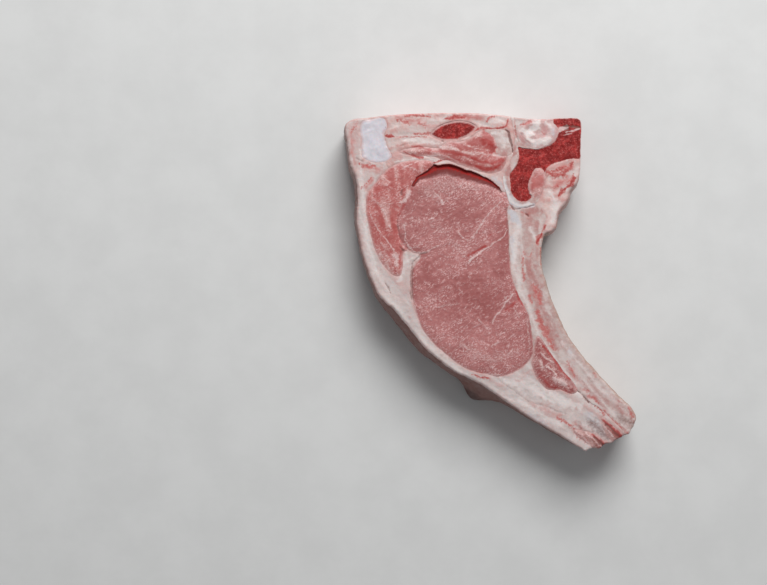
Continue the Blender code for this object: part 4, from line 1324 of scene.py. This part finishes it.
def meat(name, pink, deep, speckle, border, streak=0.0):
    """Raw muscle: fibre bundles with pale specks, partly painted glints, septa, blood, painted shade,
    moist glints and soft borders.
    """
    look = Look(name)
    fibres = look.turned(FIBRE_TILT, FIBRE_STRETCH)
    grain = look.noise(fibres, 0.45, 3.0, 0.7)
    fine = look.noise(fibres, 0.9, 3.0, 0.65, 0.5)
    middle = look.noise(look.place, 3.6, 3.0, 0.65, 0.6)
    broad = look.noise(look.place, 12.0, 2.0, 0.5)
    strand = look.shaken(look.field("strand"), fine, 0.5)
    look.begin(look.rise(broad, 0.3, 0.6, 0.45), pink, deep)
    look.paint(look.rise(look.field("pink"), -0.4, 0.8, 0.8), deep)
    look.paint(look.rise(strand, 0.5, 0.78, streak), BACK_WHITE)
    look.paint(look.rise(look.flipped(strand), 0.56, 0.78, streak), BAND_RED)
    drawn = look.math("MULTIPLY_ADD", strand, 0.5, look.math("MULTIPLY", middle, 0.6))
    drawn = look.math("SUBTRACT", drawn, look.math("MULTIPLY", look.field("pink"), 0.12))
    # Pale specks: partly flecks in the muscle, partly painted glints
    specks = look.math("MULTIPLY", look.rise(grain, 0.5, 0.62), look.rise(drawn, 0.46, 0.72))
    look.paint(look.math("MULTIPLY", specks, speckle), EYE_FLECK_AND_GLINT)
    fleck_and_glint_clusters = look.math("MULTIPLY", look.rise(fine, 0.5, 0.66), look.rise(middle, 0.42, 0.6))
    look.paint(look.math("MULTIPLY", fleck_and_glint_clusters, 0.55 * speckle), EYE_FLECK_AND_GLINT)
    look.paint(look.rise(look.flipped(fine), 0.54, 0.72, 0.5), deep)
    near = look.shaken(look.field("edge"), fine, 2.0 * border)
    look.paint(look.fall(near, -0.1 * border, 1.3 * border, 0.75), BORDER_PINK)
    look.paint(look.ragged("red", fine, 0.9, 0.7, 0.8), BLOOD)
    look.paint(look.ragged("pale", grain, 1.4, 0.85, 0.75), SEPTUM_AND_GLINT_WHITE)
    look.paint(look.ragged("dark", fine, 0.5, 0.6, 0.75), SHADE_BROWN)
    look.paint_crevice_red_and_shade(fine)
    dull = look.math("MULTIPLY", look.field("crevice"), 0.4)
    rough = look.math("ADD", look.rough(fine, 0.36, 0.2), dull)
    normal = look.bumps((middle, 0.5, 0.4), (fine, 0.25, 0.5), (grain, 0.1, 0.5))
    return look.finish(rough, normal, 0.1, 0.45)


def fat(name, white, cream, rose, skin):
    """Smooth raw fat with faint pink clouds, stains, painted shade in creases, and strands, and skin or
    sinew on its wall; the cover fat's skin is darkened as painted shade, and the fold is painted shade.
    """
    look = Look(name)
    grain = look.noise(look.place, 0.5, 2.0, 0.6)
    fine = look.noise(look.place, 1.0, 3.0, 0.6)
    middle = look.noise(look.place, 3.4, 3.0, 0.6, 0.6)
    broad = look.noise(look.place, 11.0, 3.0, 0.6)
    cloud = look.shaken(look.shaken(look.field("strand"), fine, 0.35), middle, 0.9)
    blush = look.shaken(look.field("pink"), middle, 1.2)
    edge = look.shaken(look.field("edge"), fine, 1.6)
    side = look.shaken(look.shaken(look.field("side"), broad, 0.9), middle, 0.5)
    look.begin(look.rise(broad, 0.35, 0.65), white, cream)
    look.paint(look.rise(cloud, 0.52, 0.85, rose), BACK_ROSE)
    look.paint(look.rise(blush, -0.1, 0.8, 0.75), PINK_TINT)
    look.paint(look.rise(blush, 0.5, 1.2, 0.75), BLOOD_THIN)
    look.paint(look.rise(look.field("blue"), -0.1, 0.7, 0.6), LIGAMENT_AND_GLARE_BLUE)
    look.paint(look.fall(edge, 0.1, 1.3, 0.5), PINK_TINT)
    look.paint(look.rise(look.flipped(cloud), 0.52, 0.8, 0.35), BRIGHT_WHITE)
    look.paint(look.rise(grain, 0.56, 0.72, 0.2), BRIGHT_WHITE)
    look.paint(look.ragged("pale", fine, 0.8, 0.7, 0.8), BRIGHT_WHITE)
    look.paint_blood(look.ragged("red", fine, 1.2, 0.9, 1.0), 0.45, 0.4)
    look.paint(look.ragged("dark", fine, 0.6, 0.6, 0.8), SHADE_BROWN)
    look.paint_crevice_red_and_shade(fine)
    # The wall colour where the wall swells, darkened as painted shade on the cover fat, and painted shade
    # at the fold
    look.paint(look.rise(side, 0.2, 0.8, 0.95), skin)
    look.paint(look.rise(side, 1.0, 1.6), FOLD_SHADE)
    normal = look.bumps((middle, 0.5, 0.4), (fine, 0.15, 0.4))
    return look.finish(look.rough(middle, 0.36, 0.18), normal, 0.12, 0.45)


def bone(name, white, rose):
    """Sawn bone: pale and fine-grained, tan at its skin, with rosy marrow showing in soft patches."""
    look = Look(name)
    grain = look.noise(look.place, 0.5, 2.0, 0.6)
    fine = look.noise(look.place, 1.1, 3.0, 0.65)
    middle = look.noise(look.place, 3.0, 3.0, 0.6, 0.5)
    strand = look.shaken(look.field("strand"), fine, 0.5)
    blush = look.shaken(look.field("pink"), strand, 1.2)
    side = look.shaken(look.field("side"), middle, 0.6)
    look.begin(look.rise(middle, 0.4, 0.7, 0.5), white, rose)
    look.paint(look.rise(strand, 0.5, 0.8, 0.5), rose)
    look.paint(look.rise(blush, -0.2, 0.7, 0.85), rose)
    look.paint(look.rise(look.flipped(strand), 0.5, 0.75, 0.4), BRIGHT_WHITE)
    # Blue is bluish tissue, and on the rib and the canal also painted glare
    look.paint(look.rise(look.field("blue"), -0.1, 0.6, 0.85), LIGAMENT_AND_GLARE_BLUE)
    look.paint(look.rise(grain, 0.55, 0.72, 0.25), BRIGHT_WHITE)
    look.paint(look.ragged("pale", fine, 0.7, 0.6, 0.85), BRIGHT_WHITE)
    look.paint_blood(look.ragged("red", fine, 1.1, 1.0, 1.0), 0.6, 0.68)
    look.paint(look.ragged("dark", fine, 0.5, 0.6, 0.8), SHADE_BROWN)
    look.paint(look.rise(side, 0.05, 0.5, 0.85), BONE_TAN)
    normal = look.bumps((strand, 0.3, 0.4), (fine, 0.2, 0.4))
    return look.finish(look.rough(fine, 0.4, 0.2), normal, 0.08, 0.4)


def marrow(name, halo=0.0):
    """Spongy red bone: dark blood between pale specks, inside a pale rim where there is a halo."""
    look = Look(name)
    grain = look.noise(look.place, 0.7, 2.0, 0.7)
    fine = look.noise(look.place, 1.25, 3.0, 0.75, 0.4)
    middle = look.noise(look.place, 4.0, 3.0, 0.6, 0.4)
    near = look.shaken(look.field("edge"), fine, 1.2)
    look.begin(look.rise(middle, 0.35, 0.65, 0.8), MARROW_DARK, MARROW_RED)
    look.paint(look.rise(look.flipped(fine), 0.47, 0.6, 0.85), MARROW_DARK)
    look.paint(look.rise(grain, 0.53, 0.68, 0.55), MARROW_DOTS)
    look.paint(look.ragged("pink", fine, 0.8, 0.6, 0.7), BLOOD_THIN)
    look.paint(look.ragged("pale", fine, 0.8, 0.6, 0.8), SEPTUM_AND_GLINT_WHITE)
    look.paint(look.ragged("dark", fine, 0.8, 0.6, 0.8), SHADE_BROWN)
    look.paint(look.fall(near, halo * 0.6, halo + 0.5, 0.9), BORDER_PINK)
    normal = look.bumps((fine, 0.3, 0.5), (grain, 0.15, 0.5))
    return look.finish(look.rough(fine, 0.5, 0.2), normal, 0.0, 0.25)


def cartilage(name):
    """Bluish-white cartilage, glossy, with tiny brown dots."""
    look = Look(name)
    fine = look.noise(look.place, 0.8, 2.0, 0.5)
    middle = look.noise(look.place, 4.0, 2.0, 0.5, 0.4)
    edge = look.shaken(look.field("edge"), middle, 2.0)
    look.begin(look.rise(middle, 0.35, 0.7, 0.7), CARTILAGE_WHITE, CARTILAGE_GREY)
    look.paint(look.rise(fine, 0.55, 0.8, 0.3), BRIGHT_WHITE)
    look.paint(look.fall(look.cells(look.place, 3.6), 0.03, 0.12, 0.5), SHADE_BROWN)
    look.paint(look.fall(edge, 0.1, 1.4, 0.5), BORDER_PINK)
    return look.finish(look.rough(middle, 0.3, 0.1), look.bumps((middle, 0.5, 0.3)), 0.15, 0.5)


def looks():
    """Each tissue's material."""
    made = {
        "loin_eye": meat("eye_meat", EYE_PINK, EYE_DEEP, 0.62, 0.6),
        "cap_muscle": meat("cap_meat", CAP_PINK, CAP_DEEP, 0.55, 1.0, 0.4),
        "upper_muscle": meat("band_meat", BAND_PINK, BAND_RED, 0.6, 1.4, 0.75),
        "rib_muscle": meat("rib_meat", RIB_MUSCLE_PINK, RIB_MUSCLE_DEEP, 0.5, 1.0, 0.3),
        "tail_muscle_upper": meat("tail_meat", TAIL_BROWN, TAIL_DEEP, 0.4, 2.0, 0.6),
        "disc_muscle": meat("disc_meat", DISC_PINK, CAP_PINK, 0.7, 1.2, 0.3),
        "fat_cover": fat("cover_fat", FAT_WHITE, FAT_CREAM, 0.35, SKIN_SIDE_AND_SHADE),
        "back_fat": fat("band_fat", BACK_WHITE, FAT_CREAM, 0.6, SINEW_SIDE),
        "rib_bone": bone("rib_skin", BONE_WHITE, BONE_ROSE),
        "spinal_canal": bone("canal_bone", CANAL_WHITE, CANAL_ROSE),
        "vertebra_marrow": marrow("red_marrow"),
        "feather_bone": marrow("feather_marrow", 1.0),
        "spine_cartilage": cartilage("white_cartilage"),
    }
    made["tail_muscle_lower"] = made["tail_muscle_upper"]
    made["chine_fat"] = made["back_fat"]
    made["vertebra_bone"] = made["facet_bone"] = made["rib_bone"]
    return made


def add_object(name, data):
    """A new object in the scene."""
    thing = bpy.data.objects.new(name, data)
    bpy.context.scene.collection.objects.link(thing)
    return thing


def add_camera():
    """A camera that looks straight down on the chop, framed as the picture is."""
    data = bpy.data.cameras.new("camera")
    data.sensor_width = SENSOR
    data.lens = SENSOR * VIEW_HEIGHT / (PICTURE_WIDTH * MM_PER_PIXEL)
    camera = add_object("camera", data)
    camera.location = (VIEW_CENTRE[0] * MM, VIEW_CENTRE[1] * MM, (THICKNESS + VIEW_HEIGHT) * MM)
    bpy.context.scene.camera = camera


def add_window():
    """A soft square light that shines on the middle of the chop."""
    data = bpy.data.lights.new("window", "AREA")
    data.shape = "SQUARE"
    data.size = WINDOW_SIZE
    data.energy = WINDOW_POWER
    light = add_object("window", data)
    light.location = WINDOW_PLACE
    light.rotation_euler = (-Vector(WINDOW_PLACE)).to_track_quat("-Z", "Y").to_euler()


def add_floor():
    """A wide pale floor just below the chop."""
    look = Look("floor_grey")
    tone = look.noise(look.place, 30.0, 4.0, 0.6)
    look.colour = look.mix(look.rise(tone, 0.3, 0.7), *FLOOR_GREYS)
    look.finish(0.8, look.bumps((tone, 0.1, 1.0)), 0.0, 0.2)
    mesh = bpy.data.meshes.new("floor")
    square = [(-FLOOR_HALF, -FLOOR_HALF, 0), (FLOOR_HALF, -FLOOR_HALF, 0), (FLOOR_HALF, FLOOR_HALF, 0),
              (-FLOOR_HALF, FLOOR_HALF, 0)]
    mesh.from_pydata(square, [], [(0, 1, 2, 3)])
    mesh.materials.append(look.material)
    floor = add_object("floor", mesh)
    floor.location.z = -FLOOR_GAP


def add_world():
    """Faint even light from all around."""
    world = bpy.data.worlds.new("studio")
    world.use_nodes = True
    background = world.node_tree.nodes["Background"]
    background.inputs["Color"].default_value = WORLD_COLOUR
    background.inputs["Strength"].default_value = WORLD_STRENGTH
    bpy.context.scene.world = world


def main():
    """Makes the map, the pieces and what lights and shows them."""
    corners, faces, label = tissue_map()
    outline = smooth_loop(OUTLINE, FINE_STEP)
    finder = finder_of(outline)
    found = [finder.find((x, y, 0.0)) for x, y in corners]
    rim_away = np.array([hit[2] for hit in found])
    swelling = np.array([max(outline[hit[1]][2], 0.0) for hit in found])
    rim = {}
    for vertex, out in rim_ways(corners, faces, label).items():
        fold = FOLD_REACH * math.exp(-(math.dist(corners[vertex], FOLD_PLACE) / FOLD_SPREAD) ** 2)
        rim[vertex] = (out, swelling[vertex], fold)
        rim_away[vertex] = 0.0
    meats = [number for number, name in enumerate(NAMES) if KINDS[name] == "meat"]
    pale_at = np.zeros(len(corners), bool)
    pale_at[faces[(label != OUTSIDE) & ~np.isin(label, meats)]] = True
    corners = waver(corners)
    profile = side_profile()
    made = looks()
    for number, name in enumerate(NAMES):
        own = faces[label == number]
        add_piece(name, *piece(name, corners, own, rim, rim_away, swelling, pale_at, profile), made[name])
    add_floor()
    add_window()
    add_world()
    add_camera()
    bpy.context.scene.view_settings.view_transform = "Standard"
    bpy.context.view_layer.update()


main()
